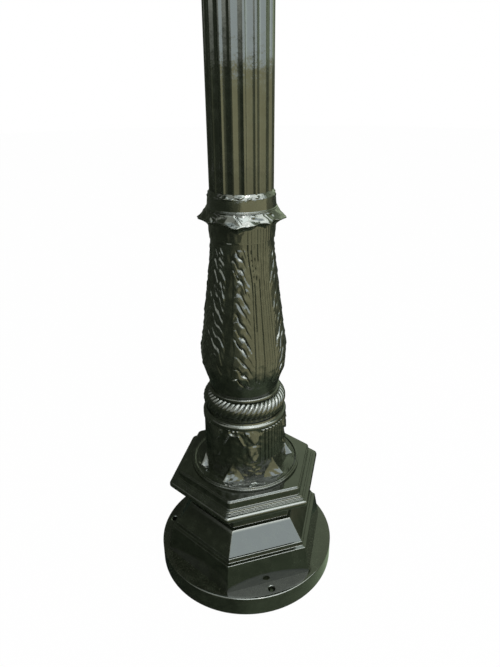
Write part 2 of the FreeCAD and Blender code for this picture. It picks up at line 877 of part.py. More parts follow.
def core_tube():
    """Steel tube through the whole stack, with holes for the arms' wires."""
    body = document.addObject("PartDesign::Body", "core_tube_body")
    start = disc_level - size.top_plate - size.core_tail
    end = stem_level - size.hub_cap_recess + size.washer_thickness + size.nut_height + 2
    section = sketch_in(body, "core_section", "XY_Plane", start)
    draw_circle(section, size.core_radius)
    draw_circle(section, size.core_bore_radius)
    pad(body, section, end - start, "core_length")
    wires = sketch_in(body, "core_wire_hole", "YZ_Plane")
    draw_circle(wires, size.wire_hole_radius, 0, arm_level)
    cut_through(body, wires, size.core_radius * 4, "core_wire_holes")
    node(body, "core_tube")


def ring_between(name, outer, level, height):
    """A plain washer on the core tube."""
    return turned(name, [
        (core_hole, level),
        (outer, level),
        (outer, level + height),
        (core_hole, level + height),
    ])


def core_hardware():
    """A washer and a hexagon nut under the pedestal's top plate, and the same pair in the hub."""
    under = disc_level - size.top_plate - size.washer_thickness
    over = stem_level - size.hub_cap_recess
    node(ring_between("lower_washer_body", size.washer_radius, under, size.washer_thickness), "lower_core_washer")
    node(ring_between("upper_washer_body", size.washer_radius - 2, over, size.washer_thickness), "upper_core_washer")
    for name, level in (("lower", under - size.nut_height), ("upper", over + size.washer_thickness)):
        blank = six_sided(f"{name}_nut_blank", [(size.nut_flat, level), (size.nut_flat, level + size.nut_height)])
        bore = cylinder(f"{name}_nut_bore", core_hole, size.nut_height * 3, up=level - size.nut_height)
        node(without(f"{name}_nut", blank, bore), f"{name}_core_nut")


def capital():
    """Moulded capital: a sleeve over the column's top, a bell and a square-edged plate."""
    low = column_top - size.capital_sleeve
    bell = column_top + size.capital_bell_height
    top = low + size.capital_height
    sleeve = size.capital_sleeve_radius
    node(turned("capital_body", [
        (size.column_radius + size.fit_gap, low),
        (sleeve, low),
        (sleeve, low + 8, 4.5),
        (sleeve - 2, low + 10),
        (sleeve - 2, column_top - 6),
        (sleeve, column_top - 4),
        (sleeve, column_top + 6, 5.5),
        (sleeve - 3, column_top + 8),
        (size.capital_bell_radius, bell, -size.capital_bell_curve),
        (size.capital_bell_radius, bell + size.capital_abacus, 6),
        (size.capital_top_radius, bell + size.capital_abacus + 5, -16),
        (size.capital_top_radius, top),
        (core_hole, top),
        (core_hole, top - size.web),
        (size.column_bore_radius, top - size.web),
        (size.column_bore_radius, column_top),
        (size.column_radius + size.fit_gap, column_top),
    ]), "capital")


def arm_hub():
    """Round hub with two side bosses for the arms and a recess on top for the core nut."""
    belly_low = hub_level + size.hub_ring * 2
    belly_high = stem_level - size.hub_ring * 2
    body = turned("arm_hub_body", [
        (core_hole, hub_level),
        (size.hub_base_radius, hub_level),
        (size.hub_base_radius, hub_level + size.hub_ring, 6),
        (size.hub_radius, belly_low, -16),
        (size.hub_radius, belly_high, size.hub_belly_curve),
        (size.hub_base_radius, stem_level - size.hub_ring, -16),
        (size.hub_base_radius, stem_level, 6),
        (size.hub_cap_radius, stem_level),
        (size.hub_cap_radius, stem_level - size.hub_cap_recess),
        (core_hole, stem_level - size.hub_cap_recess),
    ])
    for side, reach in (("right", size.hub_boss_reach), ("left", -size.hub_boss_reach)):
        boss = sketch_in(body, f"hub_{side}_boss", "YZ_Plane", reach)
        draw_circle(boss, size.hub_boss_radius, 0, arm_level)
        pad(body, boss, size.hub_boss_reach - size.core_radius - 5, f"hub_{side}_boss_pad",
            reversed_=reach.value > 0)
    for side, reach in (("right", size.hub_boss_reach), ("left", -size.hub_boss_reach)):
        socket = sketch_in(body, f"hub_{side}_socket", "YZ_Plane", reach)
        draw_circle(socket, size.arm_radius + size.fit_gap, 0, arm_level)
        pocket = cut_through(body, socket, size.arm_socket_depth, f"hub_{side}_socket_cut", midplane=False)
        pocket.Reversed = reach.value < 0
    wires = sketch_in(body, "hub_wire_hole", "YZ_Plane")
    draw_circle(wires, size.wire_hole_radius, 0, arm_level)
    cut_through(body, wires, size.hub_boss_reach * 2, "hub_wire_holes")
    holes = sketch_in(body, "hub_screw_holes", "XY_Plane", arm_level)
    screws = []
    for side, across in (("right", arm_screw_reach), ("left", -arm_screw_reach)):
        draw_circle(holes, size.screw_radius, across)
        screws.append(cylinder(f"{side}_arm_screw", size.screw_radius - 0.1, size.screw_length, across=across,
                               up=arm_level - size.arm_radius - size.screw_length - 0.2))
    cut_through(body, holes, size.hub_boss_radius + 1, "hub_screw_drilling", midplane=False)
    node(body, "arm_hub")
    group = document.addObject("Part::Compound", "arm_screw_group")
    group.Links = screws
    node(group, "arm_screws")


def centre_stem():
    """Turned stem that closes the hub and carries the centre lantern."""
    foot = size.stem_foot_radius
    waist = size.stem_waist_radius
    knop = stem_level + size.stem_height * 0.5
    seat = stem_level + size.stem_height
    bore = size.arm_bore_radius
    node(turned("centre_stem_body", [
        (bore, stem_level),
        (foot + 6, stem_level),
        (foot + 6, stem_level + 8, 5),
        (waist + 4, stem_level + 34, -40),
        (waist + 4, knop - 16),
        (waist + 8, knop - 12, 4),
        (waist + 8, knop + 12, size.stem_knop_radius - waist),
        (waist + 4, knop + 16, 4),
        (waist + 4, seat - size.arm_ring_height - 6),
        (size.arm_ring_radius, seat - size.arm_ring_height, -8),
        (size.arm_ring_radius, seat, 6),
        (size.arm_radius, seat),
        (size.arm_radius, seat + size.arm_spigot),
        (bore, seat + size.arm_spigot),
    ]), "centre_stem")


def arm_route():
    """Corner points of an arm's route: where each straight or curve ends, and its way there."""
    dip = math.radians(size.arm_dip_turn.value)
    start = size.hub_boss_reach - size.arm_socket_depth + size.fit_gap
    level = arm_level
    straight_end = size.hub_boss_reach + size.arm_straight
    dip_end = straight_end + size.arm_dip_curve * math.sin(dip)
    dip_level = level - size.arm_dip_curve * (1 - math.cos(dip))
    rise_end = dip_end + size.arm_rise_curve * (1 + math.sin(dip))
    rise_level = dip_level + size.arm_rise_curve * math.cos(dip)
    seat_level = rise_level + size.arm_tip
    return {
        "start": (start, level),
        "straight": (straight_end, level),
        "dip": (dip_end, dip_level),
        "rise": (rise_end, rise_level),
        "seat": (rise_end, seat_level),
        "tip": (rise_end, seat_level + size.arm_spigot),
    }


route = arm_route()
arm_reach, arm_seat = route["seat"]


def sweep_arm(side, direction):
    """Bent tube from the hub's socket out, down a little and up to the lantern's seat."""
    body = document.addObject("PartDesign::Body", f"{side}_arm_body")
    path = sketch_in(body, f"{side}_arm_path")

    def spot(name):
        across, up = route[name]
        return FreeCAD.Vector(direction * across.value, up.value, 0)

    curves = [
        Part.LineSegment(spot("start"), spot("straight")),
        arc_between(spot("straight"), spot("dip"), -direction * size.arm_dip_curve.value),
        arc_between(spot("dip"), spot("rise"), direction * size.arm_rise_curve.value),
        Part.LineSegment(spot("rise"), spot("tip")),
    ]
    path.addGeometry(curves, False)
    section = sketch_in(body, f"{side}_arm_section", "YZ_Plane", route["start"][0] * direction)
    draw_circle(section, size.arm_radius, 0, route["start"][1])
    draw_circle(section, size.arm_bore_radius, 0, route["start"][1])
    pipe = body.newObject("PartDesign::AdditivePipe", f"{side}_arm_pipe")
    pipe.Profile = section
    pipe.Spine = (path, [f"Edge{index}" for index in range(1, len(curves) + 1)])
    body.Tip = pipe
    ring = turned(f"{side}_arm_ring", [
        (size.arm_bore_radius + 1, arm_seat - size.arm_ring_height * 2),
        (size.arm_radius + 2, arm_seat - size.arm_ring_height * 2),
        (size.arm_ring_radius, arm_seat - size.arm_ring_height, -9),
        (size.arm_ring_radius, arm_seat, 5),
        (size.arm_bore_radius + 1, arm_seat),
    ])
    bind(ring, "Placement.Base.x", arm_reach * direction)
    node(united(f"{side}_arm_casting", [body, ring]), f"{side}_arm")


def flat_bar(sketch, start, heading, bends, thickness):
    """Draw a flat bar bent in its plane; a bend is (radius, turn), or (None, length) if straight.

    Positive turns go left. Returns the point and the heading at the bar's end.
    """
    half = thickness / 2
    point = start
    left_side, right_side, curves = [], [], []

    def mark():
        across = FreeCAD.Vector(-math.sin(heading), math.cos(heading), 0) * half
        left_side.append(point + across)
        right_side.append(point - across)

    mark()
    for radius, amount in bends:
        if radius is None:
            point = point + FreeCAD.Vector(math.cos(heading), math.sin(heading), 0) * amount
        else:
            turn = math.radians(amount)
            way = math.copysign(1, amount)
            centre = point + FreeCAD.Vector(-math.sin(heading), math.cos(heading), 0) * (radius * way)
            arm = point - centre
            heading += turn
            point = centre + FreeCAD.Vector(arm.x * math.cos(turn) - arm.y * math.sin(turn),
                                            arm.x * math.sin(turn) + arm.y * math.cos(turn), 0)
        curves.append((radius, amount))
        mark()

    def side(points, offset):
        edges = []
        for (radius, amount), first, last in zip(curves, points, points[1:]):
            if radius is None:
                edges.append(Part.LineSegment(first, last))
            else:
                way = math.copysign(1, amount)
                edges.append(arc_between(first, last, way * radius - offset))
        return edges

    sketch.addGeometry(side(left_side, half) + side(right_side, -half) + [
        Part.LineSegment(left_side[0], right_side[0]),
        Part.LineSegment(left_side[-1], right_side[-1]),
    ], False)
    return point, heading


def brace(side, direction):
    """C-shaped scroll of flat bar between the column and the lowest point of the arm."""
    body = document.addObject("PartDesign::Body", f"{side}_brace_body")
    thick = size.brace_thickness.value
    back = size.column_radius.value * math.cos(math.pi / SIZES["flute_count"]) + size.fit_gap.value
    touch_x = (route["dip"][0] + size.arm_rise_curve * 0.5).value
    touch_z = (route["rise"][1] - size.arm_rise_curve - size.arm_radius - size.fit_gap).value
    sweep = touch_x - back - thick / 2
    turn_z = touch_z - thick / 2 - sweep
    start = FreeCAD.Vector(direction * (back + thick / 2), turn_z - size.brace_straight.value, 0)
    upward, downward = math.radians(90), math.radians(-90)
    curl, inner = size.brace_curl.value, size.brace_inner_curl.value
    curls = [(curl, 110), (curl, 60), (inner, 110), (inner, 40)]
    for name, heading, way, bends in (
            ("rise", upward, -direction, [(None, size.brace_straight.value), (sweep, 90)] + curls),
            ("curl", downward, direction, curls)):
        sketch = sketch_in(body, f"{side}_brace_{name}")
        end, _ = flat_bar(sketch, start, heading,
                          [(radius, amount if radius is None else way * amount) for radius, amount in bends],
                          thick)
        pad(body, sketch, size.brace_width, f"{side}_brace_{name}_pad", midplane=True)
        eye = sketch_in(body, f"{side}_brace_{name}_eye")
        eye.addGeometry(Part.Circle(end, UP, size.brace_eye_radius.value), False)
        pad(body, eye, size.brace_width + 4, f"{side}_brace_{name}_eye_pad", midplane=True)
    levels = [start.y + size.brace_straight.value * share for share in (0.25, 0.75)]
    holes = sketch_in(body, f"{side}_brace_holes", "YZ_Plane")
    for level in levels:
        holes.addGeometry(Part.Circle(FreeCAD.Vector(0, level, 0), UP, size.screw_radius.value), False)
    cutter = body.newObject("PartDesign::Pocket", f"{side}_brace_drilling")
    cutter.Profile = holes
    cutter.Reversed = direction > 0
    cutter.Length = back + thick + 1
    body.Tip = cutter
    node(body, f"{side}_brace")
    return [(direction, back, thick, level) for level in levels]


def brace_screws(places):
    """Round-headed screws that hold the braces to the column."""
    screws = []
    for index, (direction, back, thick, level) in enumerate(places):
        shank = size.screw_radius - 0.1
        head, rise = size.screw_head_radius, size.screw_head_height
        dome = (head * head + rise * rise) / (rise * 2)
        screw = turned(f"brace_screw_{index}", [
            (0, 0),
            (shank, 0),
            (shank, size.screw_length + thick),
            (head, size.screw_length + thick),
            (0, size.screw_length + thick + rise, dome),
        ])
        screw.Placement = FreeCAD.Placement(
            FreeCAD.Vector(direction * (back - size.screw_length.value), 0, level),
            FreeCAD.Rotation(UP, FreeCAD.Vector(direction, 0, 0)))
        screws.append(screw)
    group = document.addObject("Part::Compound", "brace_screw_group")
    group.Links = screws
    node(group, "brace_screws")


def put(item, origin, name):
    """Give a lantern's sub-part its place and its name."""
    bind(item, "Placement.Base.x", origin[0])
    bind(item, "Placement.Base.z", origin[1])
    node(item, name)


def flat_at(level):
    """Half the lantern frame's width across flats at a level above the cup's seat."""
    share = (level - size.cup_height) / size.frame_height
    return size.frame_foot_flat + (size.frame_head_flat - size.frame_foot_flat) * share


def lantern(side, origin):
    """Cup, glazed frame, hinged roof with vent and finial, and the lamp inside."""
    foot = size.cup_height
    head = foot + size.frame_height
    floor = foot + size.frame_floor
    roof_level = head + size.fit_gap
    roof_top = roof_level + size.roof_height
    hinge_y = size.eave_flat + size.hinge_offset
    hinge_z = roof_level + size.hinge_drop

    rim = foot - size.cup_rim_height
    socket = size.arm_radius + size.fit_gap
    cup = turned(f"{side}_cup_body", [
        (socket, 0),
        (size.cup_stem_radius, 0),
        (size.cup_stem_radius, size.cup_stem_height * 0.5),
        (size.cup_stem_radius + 3, size.cup_stem_height * 0.5 + 3, 4),
        (size.cup_stem_radius, size.cup_stem_height * 0.5 + 6, 4),
        (size.cup_rim_radius - 4, rim, -size.cup_bowl_curve),
        (size.cup_rim_radius, rim),
        (size.cup_rim_radius, foot, 4),
        (size.arm_bore_radius, foot),
        (size.arm_bore_radius, size.arm_spigot + size.fit_gap),
        (socket, size.arm_spigot + size.fit_gap),
    ])
    screw_level = size.cup_stem_height * 0.3
    hole = sketch_in(cup, f"{side}_cup_screw_hole", "YZ_Plane")
    draw_circle(hole, size.screw_radius, 0, screw_level)
    drilled = cup.newObject("PartDesign::Pocket", f"{side}_cup_screw_cut")
    drilled.Profile = hole
    drilled.Reversed = True
    bind(drilled, "Length", size.cup_stem_radius * 2)
    cup.Tip = drilled
    repeat_round(cup, drilled, size.cup_screw_count, f"{side}_cup_screw_holes")
    put(cup, origin, f"{side}_cup")
    screws = []
    for index in range(int(SIZES["cup_screw_count"])):
        turn = 360 * index / SIZES["cup_screw_count"]
        screw = document.addObject("Part::Cylinder", f"{side}_cup_screw_{index}")
        bind(screw, "Radius", size.screw_radius - 0.1)
        bind(screw, "Height", size.screw_length)
        way = FreeCAD.Rotation(UP, turn).multVec(FreeCAD.Vector(1, 0, 0))
        screw.Placement = FreeCAD.Placement(FreeCAD.Vector(), FreeCAD.Rotation(UP, way))
        start = size.arm_radius + 0.1
        bind(screw, "Placement.Base.x", start * way.x)
        bind(screw, "Placement.Base.y", start * way.y)
        bind(screw, "Placement.Base.z", screw_level)
        screws.append(screw)
    group = document.addObject("Part::Compound", f"{side}_cup_screw_group")
    group.Links = screws
    put(group, origin, f"{side}_cup_screws")

    shell = six_sided(f"{side}_frame_outside", [(size.frame_foot_flat, foot), (size.frame_head_flat, head)], 30)
    wall = size.frame_wall
    space = six_sided(f"{side}_frame_inside", [
        (flat_at(floor) - wall, floor), (flat_at(head + wall) - wall, head + wall)], 30)
    tan_side = math.tan(math.radians(30))
    window_low = foot + size.frame_foot_ring
    window_high = head - size.frame_head_ring
    window = upright_sketch(f"{side}_window")
    draw_outline(window, [
        (flat_at(window_low) * tan_side - size.bar_half_width, window_low),
        (flat_at(window_high) * tan_side - size.bar_half_width, window_high),
    ], mirrored=True)
    openings = []
    for index in range(HEX_SIDES // 2):
        opening = document.addObject("Part::Extrusion", f"{side}_window_{index}")
        opening.Base = window
        opening.DirMode = "Custom"
        opening.Dir = FreeCAD.Vector(0, 1, 0)
        bind(opening, "LengthFwd", size.eave_flat * 2)
        bind(opening, "LengthRev", size.eave_flat * 2)
        opening.Solid = True
        opening.Placement = FreeCAD.Placement(FreeCAD.Vector(), FreeCAD.Rotation(UP, 60 * index))
        openings.append(opening)
    wire = cylinder(f"{side}_frame_wire_hole", size.wire_hole_radius, size.frame_floor * 3,
                    up=foot - size.frame_floor)
    lugs = []
    for number, start in enumerate((size.knuckle_length * 0.5 + size.knuckle_gap,
                                    -size.knuckle_length * 1.5 - size.knuckle_gap)):
        lugs.append(cylinder(f"{side}_lug_round_{number}", size.knuckle_radius, size.knuckle_length,
                             across=start, depth=hinge_y, up=hinge_z, along=FreeCAD.Vector(1, 0, 0)))
        lugs.append(box(f"{side}_lug_arm_{number}",
                        (start, size.frame_head_flat - wall, head - size.frame_head_ring * 0.6),
                        (start + size.knuckle_length, hinge_y + size.knuckle_radius * 0.7, head - 0.5)))
    bored = cylinder(f"{side}_lug_bore", size.pin_radius + size.pin_gap, size.knuckle_length * 8,
                     across=-size.knuckle_length * 4, depth=hinge_y, up=hinge_z, along=FreeCAD.Vector(1, 0, 0))
    body = united(f"{side}_frame_solid", [shell] + lugs)
    holes = united(f"{side}_frame_holes", [space, wire, bored] + openings)
    put(without(f"{side}_frame_casting", body, holes), origin, f"{side}_frame")

    pane_low = window_low - size.pane_overlap
    pane_high = window_high + size.pane_overlap
    face = wall + size.fit_gap
    sleeve = six_sided(f"{side}_glass_outside", [
        (flat_at(pane_low) - face, pane_low), (flat_at(pane_high) - face, pane_high)], 30)
    back = face + size.pane_thickness
    core = six_sided(f"{side}_glass_inside", [
        (flat_at(pane_low - 5) - back, pane_low - 5), (flat_at(pane_high + 5) - back, pane_high + 5)], 30)
    slots = []
    for index in range(HEX_SIDES // 2):
        slot = document.addObject("Part::Box", f"{side}_glass_slot_{index}")
        bind(slot, "Length", size.eave_flat * 4)
        bind(slot, "Width", size.pane_corner_gap * 2)
        bind(slot, "Height", size.frame_height * 2)
        turn = FreeCAD.Rotation(UP, 60 * index)
        slot.Placement = FreeCAD.Placement(FreeCAD.Vector(), turn)
        way = turn.multVec(FreeCAD.Vector(1, 0, 0))
        edge = turn.multVec(FreeCAD.Vector(0, 1, 0))
        bind(slot, "Placement.Base.x", size.eave_flat * (-2 * way.x) - size.pane_corner_gap * edge.x)
        bind(slot, "Placement.Base.y", size.eave_flat * (-2 * way.y) - size.pane_corner_gap * edge.y)
        slots.append(slot)
    put(without(f"{side}_glass", sleeve, united(f"{side}_glass_gaps", [core] + slots)), origin, f"{side}_panes")

    roof_outside = six_sided(f"{side}_roof_outside", [
        (size.eave_flat, roof_level),
        (size.eave_flat, roof_level + size.eave_height),
        (size.roof_swell_flat, roof_level + size.roof_swell_height, size.roof_swell_curve),
        (size.roof_top_flat, roof_top - 4, -size.roof_sweep_curve),
        (size.roof_top_flat - 2, roof_top),
    ], 30)
    thin = size.roof_wall
    roof_inside = six_sided(f"{side}_roof_inside", [
        (size.roof_seat_flat, roof_level - thin),
        (size.roof_seat_flat, roof_level + thin),
        (size.eave_flat - thin * 2, roof_level + thin),
        (size.roof_swell_flat - thin, roof_level + size.roof_swell_height - thin, size.roof_swell_curve),
        (size.roof_top_flat - thin, roof_top - 4 - thin, -size.roof_sweep_curve),
    ], 30)
    knuckle = cylinder(f"{side}_roof_knuckle", size.knuckle_radius, size.knuckle_length,
                       across=-size.knuckle_length * 0.5, depth=hinge_y, up=hinge_z,
                       along=FreeCAD.Vector(1, 0, 0))
    strap = box(f"{side}_roof_strap",
                (-size.knuckle_length * 0.5, size.eave_flat - thin, roof_level),
                (size.knuckle_length * 0.5, hinge_y, roof_level + size.eave_height))
    roof_bore = cylinder(f"{side}_roof_bore", size.pin_radius + size.pin_gap, size.knuckle_length * 3,
                         across=-size.knuckle_length * 1.5, depth=hinge_y, up=hinge_z,
                         along=FreeCAD.Vector(1, 0, 0))
    chimney = cylinder(f"{side}_roof_chimney", size.roof_hole_radius, size.roof_height, up=roof_level + thin * 2)
    roof_solid = united(f"{side}_roof_solid", [roof_outside, knuckle, strap])
    roof_hollow = united(f"{side}_roof_hollow", [roof_inside, roof_bore, chimney])
    put(without(f"{side}_roof_shell", roof_solid, roof_hollow), origin, f"{side}_roof")

    pin = turned(f"{side}_pin_body", [
        (0, 0),
        (size.pin_head_radius, 0),
        (size.pin_head_radius, size.pin_head),
        (size.pin_radius, size.pin_head),
        (size.pin_radius, size.pin_head + (size.knuckle_length * 3 + size.knuckle_gap * 2 + size.pin_head)),
        (0, size.pin_head + (size.knuckle_length * 3 + size.knuckle_gap * 2 + size.pin_head)),
    ])
    pin.Placement = FreeCAD.Placement(FreeCAD.Vector(), FreeCAD.Rotation(UP, FreeCAD.Vector(1, 0, 0)))
    put(pin, (origin[0] - size.knuckle_length * 1.5 - size.knuckle_gap * 1.5 - size.pin_head,
              origin[1] + hinge_z), f"{side}_hinge_pin")
    bind(pin, "Placement.Base.y", hinge_y)

    vent_low = roof_top
    vent_cap = vent_low + size.vent_height
    vent = turned(f"{side}_vent_body", [
        (size.vent_radius - size.vent_wall, vent_low),
        (size.vent_foot_radius, vent_low),
        (size.vent_foot_radius, vent_low + size.vent_foot_height, 3),
        (size.vent_radius, vent_low + size.vent_foot_height),
        (size.vent_radius, vent_cap),
        (size.vent_cap_radius, vent_cap),
        (size.vent_cap_radius, vent_cap + size.vent_cap_rim, 3),
        (size.vent_top_radius, vent_cap + size.vent_cap_height, size.vent_cap_curve),
        (0, vent_cap + size.vent_cap_height),
        (0, vent_cap + size.vent_wall),
        (size.vent_radius - size.vent_wall, vent_cap + size.vent_wall),
    ])
    slot_low = vent_low + size.vent_foot_height + 3
    slot = sketch_in(vent, f"{side}_vent_slot")
    draw_outline(slot, [(size.vent_slot_half, slot_low), (size.vent_slot_half, slot_low + size.vent_slot_height)],
                 mirrored=True)
    slotted = vent.newObject("PartDesign::Pocket", f"{side}_vent_slot_cut")
    slotted.Profile = slot
    bind(slotted, "Length", size.vent_radius * 2)
    vent.Tip = slotted
    repeat_round(vent, slotted, size.vent_slot_count, f"{side}_vent_slots")
    put(vent, origin, f"{side}_vent")

    finial_low = vent_cap + size.vent_cap_height
    ball = size.finial_ball_radius
    put(turned(f"{side}_finial_body", [
        (0, finial_low),
        (size.vent_top_radius - 1, finial_low),
        (size.vent_top_radius - 1, finial_low + 3, 2),
        (ball * 0.5, finial_low + 7, -6),
        (ball * 0.5, finial_low + 11),
        (ball * 0.5, finial_low + 11 + ball * (2 * COS_30), ball),
        (size.finial_tip_radius, finial_low + size.finial_height, -60),
        (0, finial_low + size.finial_height),
    ]), origin, f"{side}_finial")

    holder_top = floor + size.holder_height
    socket_low = holder_top - size.holder_socket
    cap = size.bulb_cap_radius
    put(turned(f"{side}_holder_body", [
        (size.wire_hole_radius, floor),
        (size.holder_radius + 4, floor),
        (size.holder_radius + 4, floor + 3),
        (size.holder_radius - 3, floor + 8, -7),
        (size.holder_radius - 3, holder_top - size.holder_socket * 0.8),
        (size.holder_radius, holder_top - size.holder_socket * 0.8 + 3),
        (size.holder_radius, holder_top),
        (cap + size.fit_gap, holder_top),
        (cap + size.fit_gap, socket_low),
        (size.wire_hole_radius, socket_low),
    ]), origin, f"{side}_lamp_holder")
    put(turned(f"{side}_bulb_cap_body", [
        (0, socket_low),
        (cap - 5, socket_low),
        (cap, socket_low + 6),
        (cap, holder_top + 2),
        (0, holder_top + 2),
    ]), origin, f"{side}_bulb_cap")
    globe = holder_top + 2
    put(turned(f"{side}_bulb_globe_body", [
        (0, globe),
        (cap, globe),
        (size.bulb_radius * COS_30, globe + size.bulb_neck_height, -size.bulb_neck_curve),
        (0, globe + size.bulb_neck_height + size.bulb_radius * 1.5, size.bulb_radius),
    ]), origin, f"{side}_bulb_globe")


def check_and_write():
    """Refuse failed features, then write each sub-part to its own file."""
    document.recompute()
    for item in document.Objects:
        broken = [word for word in item.State if word in ("Invalid", "Error")]
        if broken:
            raise RuntimeError(f"{item.Name} is {broken}")
    os.makedirs("parts", exist_ok=True)
    for item in nodes:
        shape = item.Shape
        if shape.isNull() or not shape.isValid() or not shape.Solids:
            raise RuntimeError(f"{item.Label} has no valid solid")
        shape.exportStep(f"parts/{item.Label}.step")
        print(f"{item.Label}: {len(shape.Solids)} solid(s), {shape.Volume / 1000:.1f} cm3")


fill_sheet()
pedestal()
collar_disc()
leaf_drum()
rope_ring()
vase()
leaf_crown()
core_tube()
core_hardware()
capital()
arm_hub()
centre_stem()
sweep_arm("right", 1)
sweep_arm("left", -1)
brace_places = brace("right", 1) + brace("left", -1)
brace_screws(brace_places)
fluted_column()
lantern("centre", (as_length(0), stem_level + size.stem_height))
lantern("right", (arm_reach, arm_seat))
lantern("left", (-arm_reach, arm_seat))
check_and_write()
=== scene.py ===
"""Looks of the triple head lamp post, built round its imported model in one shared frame.

Sizes are in millimetres and angles in degrees, unless a name says otherwise. A mesh is scaled to
metres once, when its points are written. An angle called a turn is measured about the post's axis
from the side that faces the photograph's camera, and grows to that camera's right.
"""

import json
import logging
import math
from collections.abc import Callable, Iterable, Sequence
from dataclasses import dataclass, field
from enum import Enum

import bpy
import numpy as np
from mathutils import Matrix, Vector


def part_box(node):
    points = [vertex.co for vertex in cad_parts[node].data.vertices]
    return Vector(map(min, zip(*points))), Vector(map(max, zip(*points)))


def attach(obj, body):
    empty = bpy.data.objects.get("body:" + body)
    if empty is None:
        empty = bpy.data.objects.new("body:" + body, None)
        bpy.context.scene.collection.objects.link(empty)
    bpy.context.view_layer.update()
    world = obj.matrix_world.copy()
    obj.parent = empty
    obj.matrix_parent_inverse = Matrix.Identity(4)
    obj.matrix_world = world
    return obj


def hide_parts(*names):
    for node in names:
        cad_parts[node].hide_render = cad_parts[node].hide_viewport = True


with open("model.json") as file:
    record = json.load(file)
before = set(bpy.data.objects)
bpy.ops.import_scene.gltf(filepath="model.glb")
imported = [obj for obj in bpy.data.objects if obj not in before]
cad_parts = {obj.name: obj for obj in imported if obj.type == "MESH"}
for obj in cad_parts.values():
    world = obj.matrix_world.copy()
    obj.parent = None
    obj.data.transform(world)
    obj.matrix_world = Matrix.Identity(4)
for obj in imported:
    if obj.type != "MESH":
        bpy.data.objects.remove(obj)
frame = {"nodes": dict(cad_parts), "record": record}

Array = np.ndarray
Colour = tuple[float, float, float]
Relief = Callable[[Array, Array], Array]
Run = tuple[tuple[float, float], tuple[float, float]]

MM = 0.001
COS_30 = math.cos(math.radians(30))
FRONT = -76.6

log = logging.getLogger("lamp_post")


class Slot(Enum):
    """The record's material slots."""

    CASTING = "green_paint_casting"
    TUBE = "green_paint_tube"
    LANTERN = "green_paint_lantern"
    CORE = "core_steel"
    FIXING = "fixing_steel"
    PANE = "pane_glass"
    BULB = "bulb_glass"
    CAP = "cap_aluminium"
    HOLDER = "holder_ceramic"


class Side(Enum):
    """Where a lantern stands, seen from the front."""

    LEFT = "left"
    CENTRE = "centre"
    RIGHT = "right"


POST = "post"


class Wire:
    """An output socket of a shader node, on which Python's operators add Math nodes."""

    def __init__(self, sheet: "NodeSheet", socket: bpy.types.NodeSocket) -> None:
        """Keeps the socket and the sheet that it is drawn on."""
        self.sheet = sheet
        self.socket = socket

    def maths(self, operation: str, *values: "Wire | float") -> "Wire":
        """Adds a Math node.

        Args:
            operation: the node's operation.
            values: its inputs, in order.

        Returns:
            The result.
        """
        return self.sheet.add("ShaderNodeMath", {"operation": operation}, dict(enumerate(values)))

    def __add__(self, other: "Wire | float") -> "Wire":
        """The sum."""
        return self.maths("ADD", self, other)

    def __sub__(self, other: "Wire | float") -> "Wire":
        """The difference."""
        return self.maths("SUBTRACT", self, other)

    def __rsub__(self, other: float) -> "Wire":
        """A number less this value."""
        return self.maths("SUBTRACT", other, self)

    def __mul__(self, other: "Wire | float") -> "Wire":
        """The product."""
        return self.maths("MULTIPLY", self, other)

    __radd__ = __add__
    __rmul__ = __mul__

    def span(self, low: float, high: float) -> "Wire":
        """This value's way from low to high, as a smooth step from 0 to 1."""
        settings = {"interpolation_type": "SMOOTHSTEP"}
        return self.sheet.add("ShaderNodeMapRange", settings, {0: self, 1: low, 2: high, 3: 0.0, 4: 1.0})


